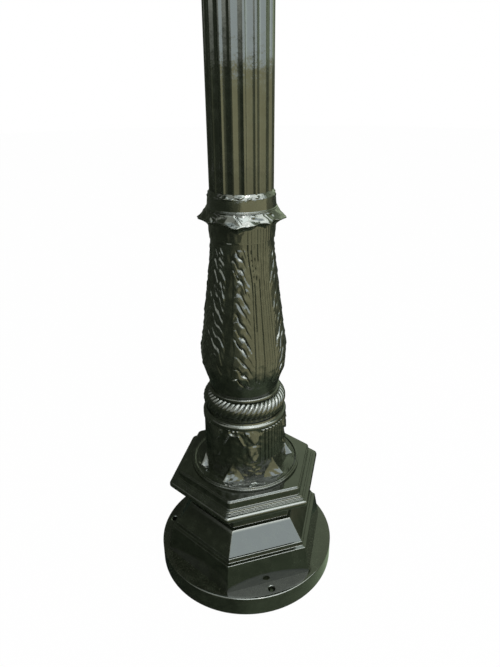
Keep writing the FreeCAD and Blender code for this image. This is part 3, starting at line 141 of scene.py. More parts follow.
class NodeSheet:
    """The nodes of one material."""

    def __init__(self, name: str) -> None:
        """Makes the material, with no nodes yet.

        Args:
            name: the material's name.
        """
        self.material = bpy.data.materials.new(name)
        self.material.use_nodes = True
        self.tree = self.material.node_tree
        self.tree.nodes.clear()

    def add(self, kind: str, settings: dict | None = None, inputs: dict | None = None,
            output: int | str = 0) -> Wire:
        """Adds any node.

        Args:
            kind: the node's type.
            settings: its properties, set first; stops are a ramp's pairs of place and colour.
            inputs: its sockets' values or wires, by name or number.
            output: the output that is handed back.

        Returns:
            That output.
        """
        node = self.tree.nodes.new(kind)
        for key, value in (settings or {}).items():
            if key == "stops":
                self._set_stops(node.color_ramp, value)
            else:
                setattr(node, key, value)
        for key, value in (inputs or {}).items():
            if isinstance(value, Wire):
                self.tree.links.new(value.socket, node.inputs[key])
            else:
                node.inputs[key].default_value = value
        return Wire(self, node.outputs[output] if len(node.outputs) else None)

    @staticmethod
    def _set_stops(ramp: bpy.types.ColorRamp, stops: Sequence[tuple[float, Colour]]) -> None:
        """Gives a ramp its stops, as pairs of place and colour.

        Args:
            ramp: the colour ramp.
            stops: a place from 0 to 1 and a colour for each.
        """
        for element in list(ramp.elements)[1:]:
            ramp.elements.remove(element)
        for index, (place, colour) in enumerate(stops):
            element = ramp.elements[0] if index == 0 else ramp.elements.new(place)
            element.position = place
            element.color = (*colour, 1.0)

    def place(self) -> Wire:
        """The shaded point in the object's own space, in metres."""
        return self.add("ShaderNodeTexCoord", output="Object")

    def part(self, vector: Wire, axis: int) -> Wire:
        """One of a vector's three parts."""
        return self.add("ShaderNodeSeparateXYZ", None, {0: vector}, axis)

    def noise(self, scale: float, detail: float, stretch: float = 1.0) -> Wire:
        """Smooth noise from 0 to 1, read in the object's own space.

        Args:
            scale: waves in a metre.
            detail: how many finer layers lie on it.
            stretch: how many times shorter its waves are level than upright.

        Returns:
            The noise.
        """
        vector = self.place()
        if stretch != 1.0:
            vector = self.add("ShaderNodeMapping", None, {0: vector, 3: (stretch, stretch, 1.0)})
        return self.add("ShaderNodeTexNoise", None, {"Vector": vector, "Scale": scale, "Detail": detail})

    def mix(self, share: Wire | float, first: Wire | Colour, second: Wire | Colour, way: str = "MIX") -> Wire:
        """Blends two colours.

        Args:
            share: 0 gives the first colour, and 1 the second or, in another way, both together.
            first: the first colour.
            second: the second colour.
            way: MIX, or another way such as ADD.

        Returns:
            The blend.
        """
        colours = [value if isinstance(value, Wire) else (*value, 1.0) for value in (first, second)]
        settings = {"data_type": "RGBA", "blend_type": way}
        return self.add("ShaderNodeMix", settings, {0: share, 6: colours[0], 7: colours[1]}, 2)

    def bump(self, height: Wire, depth: float, under: Wire | None = None) -> Wire:
        """A bumped normal.

        Args:
            height: the height from 0 to 1.
            depth: what a height of 1 measures, in metres.
            under: a normal that this one is laid over.

        Returns:
            The normal.
        """
        inputs = {"Height": height, "Distance": depth, "Strength": 1.0}
        if under is not None:
            inputs["Normal"] = under
        return self.add("ShaderNodeBump", None, inputs)

    def finish(self, **inputs: "Wire | float | Colour") -> bpy.types.Material:
        """Joins everything in one Principled surface.

        Args:
            inputs: its sockets, with an underscore for each space of a name.

        Returns:
            The material.
        """
        named = {}
        for key, value in inputs.items():
            wide = isinstance(value, tuple) and len(value) == 3
            named[key.replace("_", " ")] = (*value, 1.0) if wide else value
        surface = self.add("ShaderNodeBsdfPrincipled", None, named)
        self.add("ShaderNodeOutputMaterial", None, {"Surface": surface})
        return self.material


def toned(colour: Colour, share: float, lift: float = 0.0) -> Colour:
    """A colour times a share, with a little added to each part."""
    return tuple(share * part + lift for part in colour)


@dataclass(frozen=True)
class GlossPaint:
    """Dark green gloss paint over a casting or a tube. Its depths and heights are in metres."""

    name: str
    colour: Colour = (0.0105, 0.0135, 0.008)
    gloss: float = 0.05
    wave_depth: float = 0.0009
    wave_scale: float = 26.0
    brush_depth: float = 0.0003
    brush_scale: float = 160.0
    peel_depth: float = 0.00002
    peel_scale: float = 900.0
    dust: float = 0.0
    dust_top: float = 0.05
    dust_colour: Colour = (0.16, 0.15, 0.12)

    def grime(self, sheet: NodeSheet) -> Wire:
        """The share of dust at a point: in specks, near the ground, and more where the surface faces up.

        Args:
            sheet: the sheet of nodes.

        Returns:
            The share.
        """
        facing = sheet.part(sheet.add("ShaderNodeNewGeometry", None, None, "Normal"), 2)
        specks = sheet.noise(420.0, 6.0).span(0.5, 0.72)
        low = 1.0 - sheet.part(sheet.place(), 2).span(self.dust_top * 0.8, self.dust_top)
        lying = facing.span(0.5, 0.95) * 0.5 + 0.35
        return low * specks * lying * self.dust

    def material(self) -> bpy.types.Material:
        """Builds the paint: slow waves of the casting, brush marks and fine peel, and dust near the ground.

        Returns:
            The material.
        """
        sheet = NodeSheet(self.name)
        patches = sheet.noise(60.0, 5.0)
        normal = sheet.bump(sheet.noise(self.wave_scale, 2.0), self.wave_depth)
        normal = sheet.bump(sheet.noise(self.brush_scale, 4.0, 1.6), self.brush_depth, normal)
        normal = sheet.bump(sheet.noise(self.peel_scale, 2.0), self.peel_depth, normal)
        colour = sheet.mix(patches.span(0.35, 0.75), self.colour, toned(self.colour, 1.5, 0.002))
        rough = patches.span(0.5, 0.8) * 0.1 + self.gloss
        if self.dust:
            grime = self.grime(sheet)
            colour = sheet.mix(grime, colour, self.dust_colour)
            rough = rough + grime * 0.6
        return sheet.finish(Base_Color=colour, Roughness=rough, Normal=normal)


@dataclass(frozen=True)
class BareMetal:
    """Steel or aluminium left without paint."""

    name: str
    colour: Colour
    gloss: float = 0.3

    def material(self) -> bpy.types.Material:
        """Builds the metal: drawn streaks and small stains over an even shine.

        Returns:
            The material.
        """
        sheet = NodeSheet(self.name)
        streaks = sheet.noise(300.0, 3.0, 0.15)
        stains = sheet.noise(90.0, 5.0)
        colour = sheet.mix(stains.span(0.45, 0.8), self.colour, toned(self.colour, 0.6))
        rough = stains * 0.25 + streaks * 0.1 + (self.gloss - 0.15)
        return sheet.finish(Base_Color=colour, Roughness=rough, Metallic=1.0,
                            Normal=sheet.bump(streaks, 0.00003))


@dataclass(frozen=True)
class Glass:
    """Clear or frosted glass."""

    name: str
    colour: Colour
    clear: float
    gloss: float

    def material(self) -> bpy.types.Material:
        """Builds the glass: slow waves of the sheet and a faint film of rain marks.

        Returns:
            The material.
        """
        sheet = NodeSheet(self.name)
        waves = sheet.noise(14.0, 1.0)
        film = sheet.noise(220.0, 5.0, 1.8).span(0.55, 0.8)
        return sheet.finish(Base_Color=self.colour, Roughness=film * 0.12 + self.gloss, IOR=1.45,
                            Transmission_Weight=self.clear, Normal=sheet.bump(waves, 0.0004))


@dataclass(frozen=True)
class Ceramic:
    """White glazed ceramic of a lamp holder."""

    name: str
    colour: Colour = (0.78, 0.76, 0.7)

    def material(self) -> bpy.types.Material:
        """Builds the glaze: faint cream patches under an even gloss.

        Returns:
            The material.
        """
        sheet = NodeSheet(self.name)
        patches = sheet.noise(70.0, 4.0)
        colour = sheet.mix(patches.span(0.3, 0.8), self.colour, toned(self.colour, 0.9))
        return sheet.finish(Base_Color=colour, Roughness=patches * 0.1 + 0.12,
                            Normal=sheet.bump(patches, 0.0002))


class Finishes:
    """Every finish of the post, each built once."""

    def __init__(self) -> None:
        """Builds the materials."""
        self.casting = GlossPaint("green_casting").material()
        self.footing = GlossPaint("green_footing", wave_depth=0.0003, brush_depth=0.00002,
                                  dust=0.16).material()
        self.tube = GlossPaint("green_tube", wave_depth=0.0005, brush_depth=0.0001).material()
        self.lantern = GlossPaint("green_lantern", wave_depth=0.0002, brush_depth=0.00008).material()
        self.core = BareMetal("dulled_core_steel", (0.42, 0.42, 0.4), 0.4).material()
        self.fixing = BareMetal("dulled_fixing_steel", (0.55, 0.55, 0.53), 0.3).material()
        self.cap = BareMetal("drawn_cap_aluminium", (0.78, 0.78, 0.78), 0.28).material()
        self.pane = Glass("rained_pane_glass", (0.95, 0.97, 0.96), 1.0, 0.02).material()
        self.bulb = Glass("frosted_bulb_glass", (0.95, 0.95, 0.92), 0.45, 0.3).material()
        self.holder = Ceramic("glazed_holder_ceramic").material()


def wrapped(angle: Array | float, period: float) -> Array:
    """An angle brought within half a period of zero."""
    return (np.asarray(angle) + period / 2) % period - period / 2


def step(value: Array, low: float, high: float) -> Array:
    """A smooth step: t*t*(3 - 2t), where t runs from 0 at low to 1 at high."""
    share = np.clip((value - low) / (high - low), 0.0, 1.0)
    return share * share * (3.0 - 2.0 * share)


def hump(distance: Array, width: float) -> Array:
    """A rounded bump of height 1: exp(-(distance / width) squared)."""
    return np.exp(-np.square(distance / width))


def half_round(value: Array) -> Array:
    """A half circle of height 1: the root of 1 - value squared, and 0 past 1 either way."""
    return np.sqrt(np.clip(1 - np.square(value), 0, 1))


def lobed(phase: Array, low: float = 0.0) -> Array:
    """Round lobes side by side: the root of |sin(phase)| + low, with the phase in radians."""
    return np.sqrt(np.abs(np.sin(phase)) + low)


def flat_point(turn: Array | float, reach: Array | float) -> Array:
    """The point at a turn in degrees and a distance from the axis: (r cos a, r sin a)."""
    angle = np.radians(turn)
    return np.stack(np.broadcast_arrays(reach * np.cos(angle), reach * np.sin(angle)), axis=-1)


def wobble(turn: Array, level: Array, seed: int, length: float) -> Array:
    """Gentle unevenness, mostly within 1 either way: a sum of sine waves over the root of their number.

    Each wave has a whole number of rounds in a turn, so that its ends meet.

    Args:
        turn: angles in degrees.
        level: heights.
        seed: which set of waves.
        length: the waves' length upright.

    Returns:
        The unevenness at each point.
    """
    draw = np.random.default_rng(seed)
    total = np.zeros(np.broadcast(turn, level).shape)
    waves = 14
    for _ in range(waves):
        rounds = draw.integers(2, 30)
        steepness, phase = draw.uniform(-1.0, 1.0), draw.uniform(0.0, 360.0)
        total = total + np.sin(np.radians(rounds * turn + phase) + steepness * level / length * 2 * math.pi)
    return total / math.sqrt(waves)


def corners_rounded(corners: Sequence[tuple[float, ...]], gap: float = 2.0, arc_points: int = 6) -> Array:
    """A profile through corners, with arcs where a corner has a radius.

    An arc touches both runs: it starts radius times tan(half the turn) from its corner.

    Args:
        corners: (across, up) or (across, up, radius), from first to last.
        gap: the longest stretch between two points.
        arc_points: points on each arc.

    Returns:
        Points as rows of (across, up).
    """
    points = np.array([corner[:2] for corner in corners], float)
    line = [points[0]]
    for index in range(1, len(points)):
        corner = corners[index]
        if len(corner) > 2 and index < len(points) - 1:
            before, after = points[index - 1] - points[index], points[index + 1] - points[index]
            before, after = before / np.linalg.norm(before), after / np.linalg.norm(after)
            half = math.acos(float(np.clip(before @ after, -1.0, 1.0))) / 2
            reach = corner[2] / math.tan(half)
            middle = (before + after) / np.linalg.norm(before + after)
            centre = points[index] + middle * corner[2] / math.sin(half)
            start, end = points[index] + before * reach - centre, points[index] + after * reach - centre
            share = np.linspace(0.0, 1.0, arc_points)[:, None]
            swing = math.pi - 2 * half
            arc = (np.sin((1 - share) * swing) * start + np.sin(share * swing) * end) / math.sin(swing)
            line.extend(centre + arc)
        else:
            line.append(points[index])
    return spaced(np.array(line), gap)


def spaced(line: Array, gap: float) -> Array:
    """Adds points on straight runs, so that none is longer than the gap.

    Args:
        line: rows of points.
        gap: the longest stretch between two points.

    Returns:
        The line's points.
    """
    pieces = [line[:1]]
    for start, end in zip(line[:-1], line[1:]):
        count = max(1, math.ceil(float(np.linalg.norm(end - start)) / gap))
        pieces.append(start + (end - start) * np.linspace(0, 1, count + 1)[1:, None])
    return np.concatenate(pieces)


def smooth_line(points: Sequence[Sequence[float]], count: int) -> Array:
    """A smooth line through points, in cubic pieces that are as steep at a point as its neighbours' line.

    Args:
        points: the points to pass through, in any number of dimensions.
        count: points on each piece.

    Returns:
        The line's points.
    """
    knots = np.array(points, float)
    slopes = np.gradient(knots, axis=0)
    share = np.linspace(0.0, 1.0, count, endpoint=False)[:, None]
    start_part = 2 * share**3 - 3 * share**2 + 1
    start_slope, end_slope = share**3 - 2 * share**2 + share, share**3 - share**2
    pieces = [start_part * here + (1 - start_part) * there + start_slope * leaving + end_slope * coming
              for here, there, leaving, coming in zip(knots, knots[1:], slopes, slopes[1:])]
    return np.concatenate([*pieces, knots[-1:]])


def grid_faces(rows: int, columns: int, rows_close: bool) -> Array:
    """Quads of a grid whose columns close on themselves.

    Args:
        rows: rows of points.
        columns: points in a row.
        rows_close: whether the last row joins the first.

    Returns:
        Four point numbers for each quad.
    """
    index = np.arange(rows * columns).reshape(rows, columns)
    if rows_close:
        index = np.vstack([index, index[:1]])
    index = np.hstack([index, index[:, :1]])
    return np.stack([index[:-1, :-1], index[:-1, 1:], index[1:, 1:], index[1:, :-1]], axis=-1).reshape(-1, 4)


@dataclass
class Surface:
    """Closed shells in millimetres, gathered before they become one mesh."""

    points: list[Array] = field(default_factory=list)
    faces: list[list[int]] = field(default_factory=list)
    total: int = 0

    def add_shell(self, points: Array, quads: Array, fans: Array | None = None) -> "Surface":
        """Adds one closed shell and turns it so that its faces point outwards.

        The shell's volume is the sum of (first x second) . third / 6 over its triangles, and is
        negative where the faces point inwards.

        Args:
            points: rows of x, y, z.
            quads: four point numbers each.
            fans: three point numbers each.

        Returns:
            This surface.
        """
        halves = [quads[:, [0, 1, 2]], quads[:, [0, 2, 3]]] + ([] if fans is None else [fans])
        first, second, third = (points[np.concatenate(halves)[:, k]] for k in range(3))
        turned = float(np.einsum("ij,ij->i", np.cross(first, second), third).sum()) < 0
        for faces in (quads, fans):
            if faces is not None:
                ordered = faces[:, ::-1] if turned else faces
                self.faces.extend((ordered + self.total).tolist())
        self.points.append(points)
        self.total += len(points)
        return self

    def add_loop(self, grid: Array) -> "Surface":
        """Adds a shell like a ring: the grid's rows and columns both close on themselves."""
        rows, columns = grid.shape[:2]
        return self.add_shell(grid.reshape(-1, 3), grid_faces(rows, columns, True))

    def add_capped(self, grid: Array) -> "Surface":
        """Adds a shell like a bottle: its columns close, and its two end rows close on their middles.

        Args:
            grid: rows of points, the first and the last of them the ends.

        Returns:
            This surface.
        """
        rows, columns = grid.shape[:2]
        middles = np.stack([grid[0].mean(axis=0), grid[-1].mean(axis=0)])
        points = np.concatenate([grid.reshape(-1, 3), middles])
        low = np.arange(columns)
        high = low + (rows - 1) * columns
        first = np.stack([np.roll(low, -1), low, np.full(columns, rows * columns)], axis=1)
        last = np.stack([high, np.roll(high, -1), np.full(columns, rows * columns + 1)], axis=1)
        return self.add_shell(points, grid_faces(rows, columns, False), np.concatenate([first, last]))

    def add_all(self, other: "Surface") -> "Surface":
        """Adds the shells of another surface, which point outwards already.

        Args:
            other: the other surface.

        Returns:
            This surface.
        """
        self.faces.extend([index + self.total for index in face] for face in other.faces)
        self.points.extend(other.points)
        self.total += other.total
        return self

    def moved(self, x: float, y: float, z: float) -> "Surface":
        """Moves every shell gathered so far."""
        self.points = [points + np.array([x, y, z]) for points in self.points]
        return self

    def build(self, name: str, crease: float = 35.0) -> bpy.types.Object:
        """Makes the mesh and its object.

        Args:
            name: the piece's name.
            crease: edges that turn by more degrees than this stay sharp.

        Returns:
            The object, at the origin.
        """
        mesh = bpy.data.meshes.new(name)
        mesh.from_pydata((np.concatenate(self.points) * MM).tolist(), [], self.faces)
        mesh.update()
        mesh.shade_smooth()
        mesh.set_sharp_from_angle(angle=math.radians(crease))
        piece = bpy.data.objects.new(name, mesh)
        bpy.context.scene.collection.objects.link(piece)
        return piece


def box_of(node: str) -> tuple[Array, Array]:
    """A CAD node's lowest and highest corners, in millimetres."""
    low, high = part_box(node)
    return np.array(low) / MM, np.array(high) / MM


def levels_of(node: str) -> tuple[float, float]:
    """The heights of a CAD node's foot and top, in millimetres."""
    low, high = box_of(node)
    return float(low[2]), float(high[2])


def turned_grid(profile: Array, columns: int, relief: Relief | None = None,
                carved: Array | None = None) -> Array:
    """A profile carried round the post's axis: x = r cos a, y = r sin a, with r its radius plus its relief.

    Args:
        profile: rows of (radius, height).
        columns: points in a turn.
        relief: gives what is added to the radius at a turn and a height.
        carved: the share of the relief that each row takes.

    Returns:
        The grid of points.
    """
    turn = np.linspace(0.0, 360.0, columns, endpoint=False)[None, :]
    radius, level = profile[:, :1], profile[:, 1:2]
    if relief is not None:
        share = np.ones(len(profile)) if carved is None else carved
        radius = radius + relief(turn, level) * share[:, None]
    angle = np.radians(turn + FRONT)
    return np.stack(np.broadcast_arrays(radius * np.cos(angle), radius * np.sin(angle), level), axis=-1)


def with_bore(outer: Array, bore: float) -> tuple[Array, Array]:
    """Closes an outer profile through a round bore.

    Args:
        outer: rows of (radius, height), from the foot up.
        bore: the bore's radius.

    Returns:
        The closed profile, and 1 for its outer rows and 0 for the others.
    """
    inner = spaced(np.array([[bore, outer[-1, 1]], [bore, outer[0, 1]]]), 20.0)
    return np.concatenate([outer, inner]), np.concatenate([np.ones(len(outer)), np.zeros(len(inner))])


def dress(piece: bpy.types.Object, finish: bpy.types.Material, body: str = POST,
          nodes: Iterable[str] = ()) -> bpy.types.Object:
    """Gives a new piece its finish and its body, and reports it.

    Args:
        piece: the object.
        finish: its material.
        body: the body it rides on.
        nodes: the CAD nodes that it stands for.

    Returns:
        The piece.
    """
    piece.data.materials.append(finish)
    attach(piece, body)
    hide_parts(*nodes)
    log.info("%s: %d faces on %s", piece.name, len(piece.data.polygons), body)
    return piece


def loop_piece(name: str, node: str, grid: Array, finish: bpy.types.Material,
               crease: float = 60.0) -> bpy.types.Object:
    """Makes one shell, whose rows and columns both close, into the piece that stands for a CAD node.

    Args:
        name: the piece's name.
        node: the CAD node that it stands for.
        grid: the shell's points.
        finish: its material.
        crease: edges that turn by more degrees than this stay sharp.

    Returns:
        The piece.
    """
    return dress(Surface().add_loop(grid).build(name, crease), finish, nodes=[node])


def repaint(node: str, finish: bpy.types.Material) -> None:
    """Gives a CAD node that stays a better material.

    Args:
        node: the CAD node's name.
        finish: the material.
    """
    materials = frame["nodes"][node].data.materials
    if len(materials) == 0:
        materials.append(finish)
    for index in range(len(materials)):
        materials[index] = finish
    log.info("%s: kept, with %s", node, finish.name)


def hexagon_rings(flat: Array, corner: Array, level: Array, hexagonal: Array | None = None, turn: float = 0.0,
                  side_points: int = 22, corner_points: int = 9) -> Array:
    """Rings that are hexagons with rounded corners, circles, or something between.

    A hexagon's point is (flat - corner) times a sharp hexagon plus corner times the outward normal,
    which turns on the corners alone. The ring is its blend with a circle of that flat.

    Args:
        flat: distance from the axis to each ring's sides.
        corner: radius of its corners.
        level: its height.
        hexagonal: 1 for a hexagon, 0 for a circle, or nothing for hexagons throughout.
        turn: where the first side faces, in degrees.
        side_points: points along a side.
        corner_points: points round a corner.

    Returns:
        The grid of points.
    """
    side_share = np.linspace(-1.0, 1.0, side_points, endpoint=False)
    corner_share = np.linspace(0.0, 1.0, corner_points, endpoint=False)
    sharp, normal = [], []
    half_side, corner_weight = math.tan(math.radians(30)), 0.12
    for index in range(6):
        facing = math.radians(60.0 * index + turn)
        way = np.array([math.cos(facing), math.sin(facing)])
        along = np.array([-math.sin(facing), math.cos(facing)])
        run = way + np.outer(side_share, along) * half_side
        swing = facing + corner_share * math.radians(60)
        sharp.extend([run, np.tile(way + along * half_side, (corner_points, 1))])
        normal.extend([np.tile(way, (side_points, 1)), np.stack([np.cos(swing), np.sin(swing)], axis=1)])
    sharp, normal = np.concatenate(sharp), np.concatenate(normal)
    spread = (1 - corner_weight) * sharp + corner_weight * normal
    round_way = spread / np.linalg.norm(spread, axis=1, keepdims=True)
    share = np.ones(len(flat)) if hexagonal is None else hexagonal
    flat, corner, share = flat[:, None, None], corner[:, None, None], share[:, None, None]
    plan = share * ((flat - corner) * sharp + corner * normal) + (1 - share) * flat * round_way
    return np.concatenate([plan, np.broadcast_to(level[:, None, None], (*plan.shape[:2], 1))], axis=2)


def rod(line: Array, radius: float, facing: float, sides: int = 12) -> Array:
    """A round rod along a line in the upright plane that faces a turn, tapered to a dome at both ends.

    Args:
        line: rows of (reach from the axis, height).
        radius: the rod's radius.
        facing: the plane's angle about the axis, in degrees from the x axis.
        sides: points round the rod.

    Returns:
        The grid of points.
    """
    heading = np.gradient(line, axis=0)
    heading = heading / np.linalg.norm(heading, axis=1, keepdims=True)
    run = np.concatenate([[0.0], np.cumsum(np.linalg.norm(np.diff(line, axis=0), axis=1))])
    near_end = np.clip(np.minimum(run, run[-1] - run) / radius, 0, 1)
    girth = radius * np.sqrt(np.clip(1 - np.square(1 - near_end), 0.01, 1))[:, None]
    angle = np.radians(np.linspace(0, 360, sides, endpoint=False))[None, :]
    reach = line[:, :1] + girth * np.sin(angle) * heading[:, 1:2]
    level = line[:, 1:2] - girth * np.sin(angle) * heading[:, :1]
    beside = girth * np.cos(angle)
    turn = math.radians(facing)
    return np.stack([reach * math.cos(turn) - beside * math.sin(turn),
                     reach * math.sin(turn) + beside * math.cos(turn), level], axis=-1)


def bowed(start: tuple[float, float], end: tuple[float, float], sag: float, count: int) -> Array:
    """A line between two points that bows to its left by sag at the middle: sag times 4 t (1 - t).

    Args:
        start: the first point.
        end: the last point.
        sag: how far the middle stands off the straight line.
        count: points on the line.

    Returns:
        The line's points.
    """
    share = np.linspace(0.0, 1.0, count)[:, None]
    first, last = np.array(start), np.array(end)
    left = np.array([first[1] - last[1], last[0] - first[0]])
    return first + (last - first) * share + left / np.linalg.norm(left) * sag * 4 * share * (1 - share)


@dataclass
class Pedestal:
    """The round flange and the moulded hexagon that stands on it, one hollow casting."""

    flange_radius: float = 184.9
    flange_height: float = 42.0
    plinth_foot: float = 150.5
    plinth_top: float = 141.0
    plinth_level: float = 100.5
    ledge: float = 134.3
    ledge_level: float = 110.6
    slope_top: float = 104.2
    slope_level: float = 153.0
    neck: float = 98.0
    neck_level: float = 188.0
    bead: float = 140.7
    bead_level: float = 206.5
    fascia: float = 123.4
    wall: float = 9.0
    bore: float = 24.6
    hole_circle: float = 167.5
    hole_radius: float = 7.0
    chamfer: float = 1.2
    top_wall: float = 12.0
    round_within: float = 60.0

    def outline(self, top: float) -> Array:
        """The casting's closed profile.

        Args:
            top: the height of its top face.

        Returns:
            Rows of (flat, height, corner radius, hexagon share).
        """
        wall, flat, neck = self.wall, self.flange_height, self.neck
        flange = corners_rounded([(self.plinth_foot - wall, 0), (self.flange_radius, 0),
                                  (self.flange_radius, flat, 2.5), (self.plinth_foot + 1, flat)], 6.0)
        plinth = corners_rounded([
            (self.plinth_foot, flat), (self.plinth_top, self.plinth_level, 1.2),
            (self.ledge, self.plinth_level + 1.5, 1.0), (self.ledge - 0.6, self.ledge_level, 1.2),
            (self.ledge - 3.5, self.ledge_level + 1), (self.slope_top + 1, self.slope_level - 1),
            (self.slope_top, self.slope_level, 1.0), (neck, self.slope_level + 2, 1.0),
            (neck, self.neck_level)], 6.0)
        bead, low, fascia = self.bead, self.bead_level, self.fascia
        cornice = corners_rounded([
            (neck, self.neck_level), (neck + 16, self.neck_level + 3, 10), (bead - 9, low - 5, 8),
            (bead - 7.5, low, 0.8), (bead, low + 1, 4.5), (bead, low + 13, 5.5), (bead - 7.5, low + 14, 0.8),
            (bead - 7.5, low + 16.5, 0.8), (bead - 11, low + 17, 1.2), (bead - 11.5, low + 20, 0.8),
            (fascia + 0.6, low + 20.6, 0.8), (fascia - 0.6, top - 2.6, 1), (fascia - 2.4, top - 2.2, 0.6),
            (fascia - 3.4, top, 1.2), (100, top), (40, top), (self.bore, top, 0.8)], 6.0)
        ceiling = top - self.top_wall
        inside = corners_rounded([
            (self.bore, ceiling), (80, ceiling), (fascia - wall, ceiling, 6),
            (neck - wall, self.neck_level, 12), (neck - wall, self.slope_level),
            (self.ledge - wall, self.ledge_level), (self.plinth_foot - wall, flat)], 12.0)
        parts = ((flange, 2.0, 0.0), (plinth, 2.2, 1.0), (cornice, 9.0, 1.0), (inside, 4.0, 1.0))
        rows = [np.column_stack([part, np.full(len(part), corner), np.full(len(part), share)])
                for part, corner, share in parts]
        whole = np.concatenate(rows)
        whole[whole[:, 0] < self.round_within, 3] = 0.0
        whole[0, 3] = 1.0
        return whole

    def build(self, finishes: Finishes) -> None:
        """Builds the casting, drills its anchor holes and paints it.

        Args:
            finishes: the post's materials.
        """
        rows = self.outline(levels_of("pedestal")[1])
        grid = hexagon_rings(rows[:, 0], rows[:, 2], rows[:, 1], rows[:, 3])
        piece = Surface().add_loop(grid).build("pedestal_casting", 30.0)
        self.drill(piece)
        dress(piece, finishes.footing, nodes=["pedestal"])

    def drill(self, piece: bpy.types.Object) -> None:
        """Cuts the three anchor holes through the flange, each with a small chamfer.

        Args:
            piece: the casting.
        """
        drills, radius, top = Surface(), self.hole_radius, self.flange_height
        wide = radius + self.chamfer
        profile = np.array([[radius, -5.0], [radius, top - 0.8], [wide, top + 0.5], [wide, top + 6]])
        for facing in (60.0, 180.0, 300.0):
            angle = math.radians(facing)
            drill = Surface().add_capped(turned_grid(profile, 32))
            drill.moved(self.hole_circle * math.cos(angle), self.hole_circle * math.sin(angle), 0)
            drills.add_all(drill)
        cutter = drills.build("anchor_drills")
        cut = piece.modifiers.new("anchor_holes", "BOOLEAN")
        cut.operation = "DIFFERENCE"
        cut.object = cutter
        depsgraph = bpy.context.evaluated_depsgraph_get()
        drilled = bpy.data.meshes.new_from_object(piece.evaluated_get(depsgraph))
        piece.modifiers.clear()
        piece.data = drilled
        bpy.data.objects.remove(cutter)


@dataclass
class CollarDisc:
    """The round disc under the leaf drum, with a thin raised rim and runs of old paint on its top."""

    radius: float = 109.8
    rim: float = 105.5
    bore: float = 24.6
    run_width: float = 2.2
    run_height: float = 2.1
    columns: int = 480
    runs: tuple[Run, ...] = (
        ((-52.0, 90.0), (-22.0, 104.0)), ((-20.0, 104.0), (-4.0, 93.0)), ((-4.0, 93.0), (22.0, 98.0)),
        ((-38.0, 93.0), (-15.0, 102.0)), ((-20.0, 100.0), (-17.0, 109.0)), ((4.0, 100.0), (10.0, 96.0)),
        ((36.0, 101.0), (50.0, 97.0)), ((-75.0, 98.0), (-58.0, 92.0)))

    def paint_runs(self, turn: Array, reach: Array) -> Array:
        """How high the runs stand: a rounded ridge about each line from one (turn, reach) to another.

        The distance to a line is taken to its nearest point, at a share of its length that is kept
        from 0 to 1.

        Args:
            turn: angles in degrees.
            reach: distances from the axis.

        Returns:
            The height at each point.
        """
        spot = flat_point(turn, reach)
        total, uneven = np.zeros(spot.shape[:2]), 0.7 * wobble(turn, reach, 61, 9.0)
        for ends in self.runs:
            start, end = (flat_point(*place) for place in ends)
            way = end - start
            share = np.clip((spot - start) @ way / (way @ way), 0, 1)[..., None]
            gap = np.linalg.norm(spot - start - share * way, axis=-1)
            total = np.maximum(total, hump(gap + uneven, self.run_width))
        return total * self.run_height * (0.8 + 0.3 * wobble(turn, reach, 62, 12.0))

    def build(self, finishes: Finishes) -> None:
        """Turns the disc: an outer step, a raised rim, and a flat top inside it that the runs lie on.

        Args:
            finishes: the post's materials.
        """
        foot, top = levels_of("collar_disc")
        radius, rim, inner_top = self.radius, self.rim, top - 1.8
        outer = corners_rounded([
            (radius - 0.8, foot), (radius, foot + 1, 0.8), (radius, foot + 4.6, 1.2),
            (rim + 2, foot + 5, 0.6), (rim + 1.6, top, 1.0), (rim - 1.6, top, 1.0),
            (rim - 2.6, top - 1.6, 1.5), (92, inner_top), (self.bore, inner_top)], 1.5)
        profile, _ = with_bore(outer, self.bore)
        grid = turned_grid(profile, self.columns)
        turn, reach = np.linspace(0.0, 360.0, self.columns, endpoint=False)[None, :], profile[:, :1]
        on_top = np.where(profile[:, 1:] > top - 2.5, 1.0, 0.0)
        grid[..., 2] += on_top * (self.paint_runs(turn, reach) + 0.1 * wobble(turn, reach, 3, 30.0))
        loop_piece("collar_disc_rim", "collar_disc", grid, finishes.casting, crease=35.0)


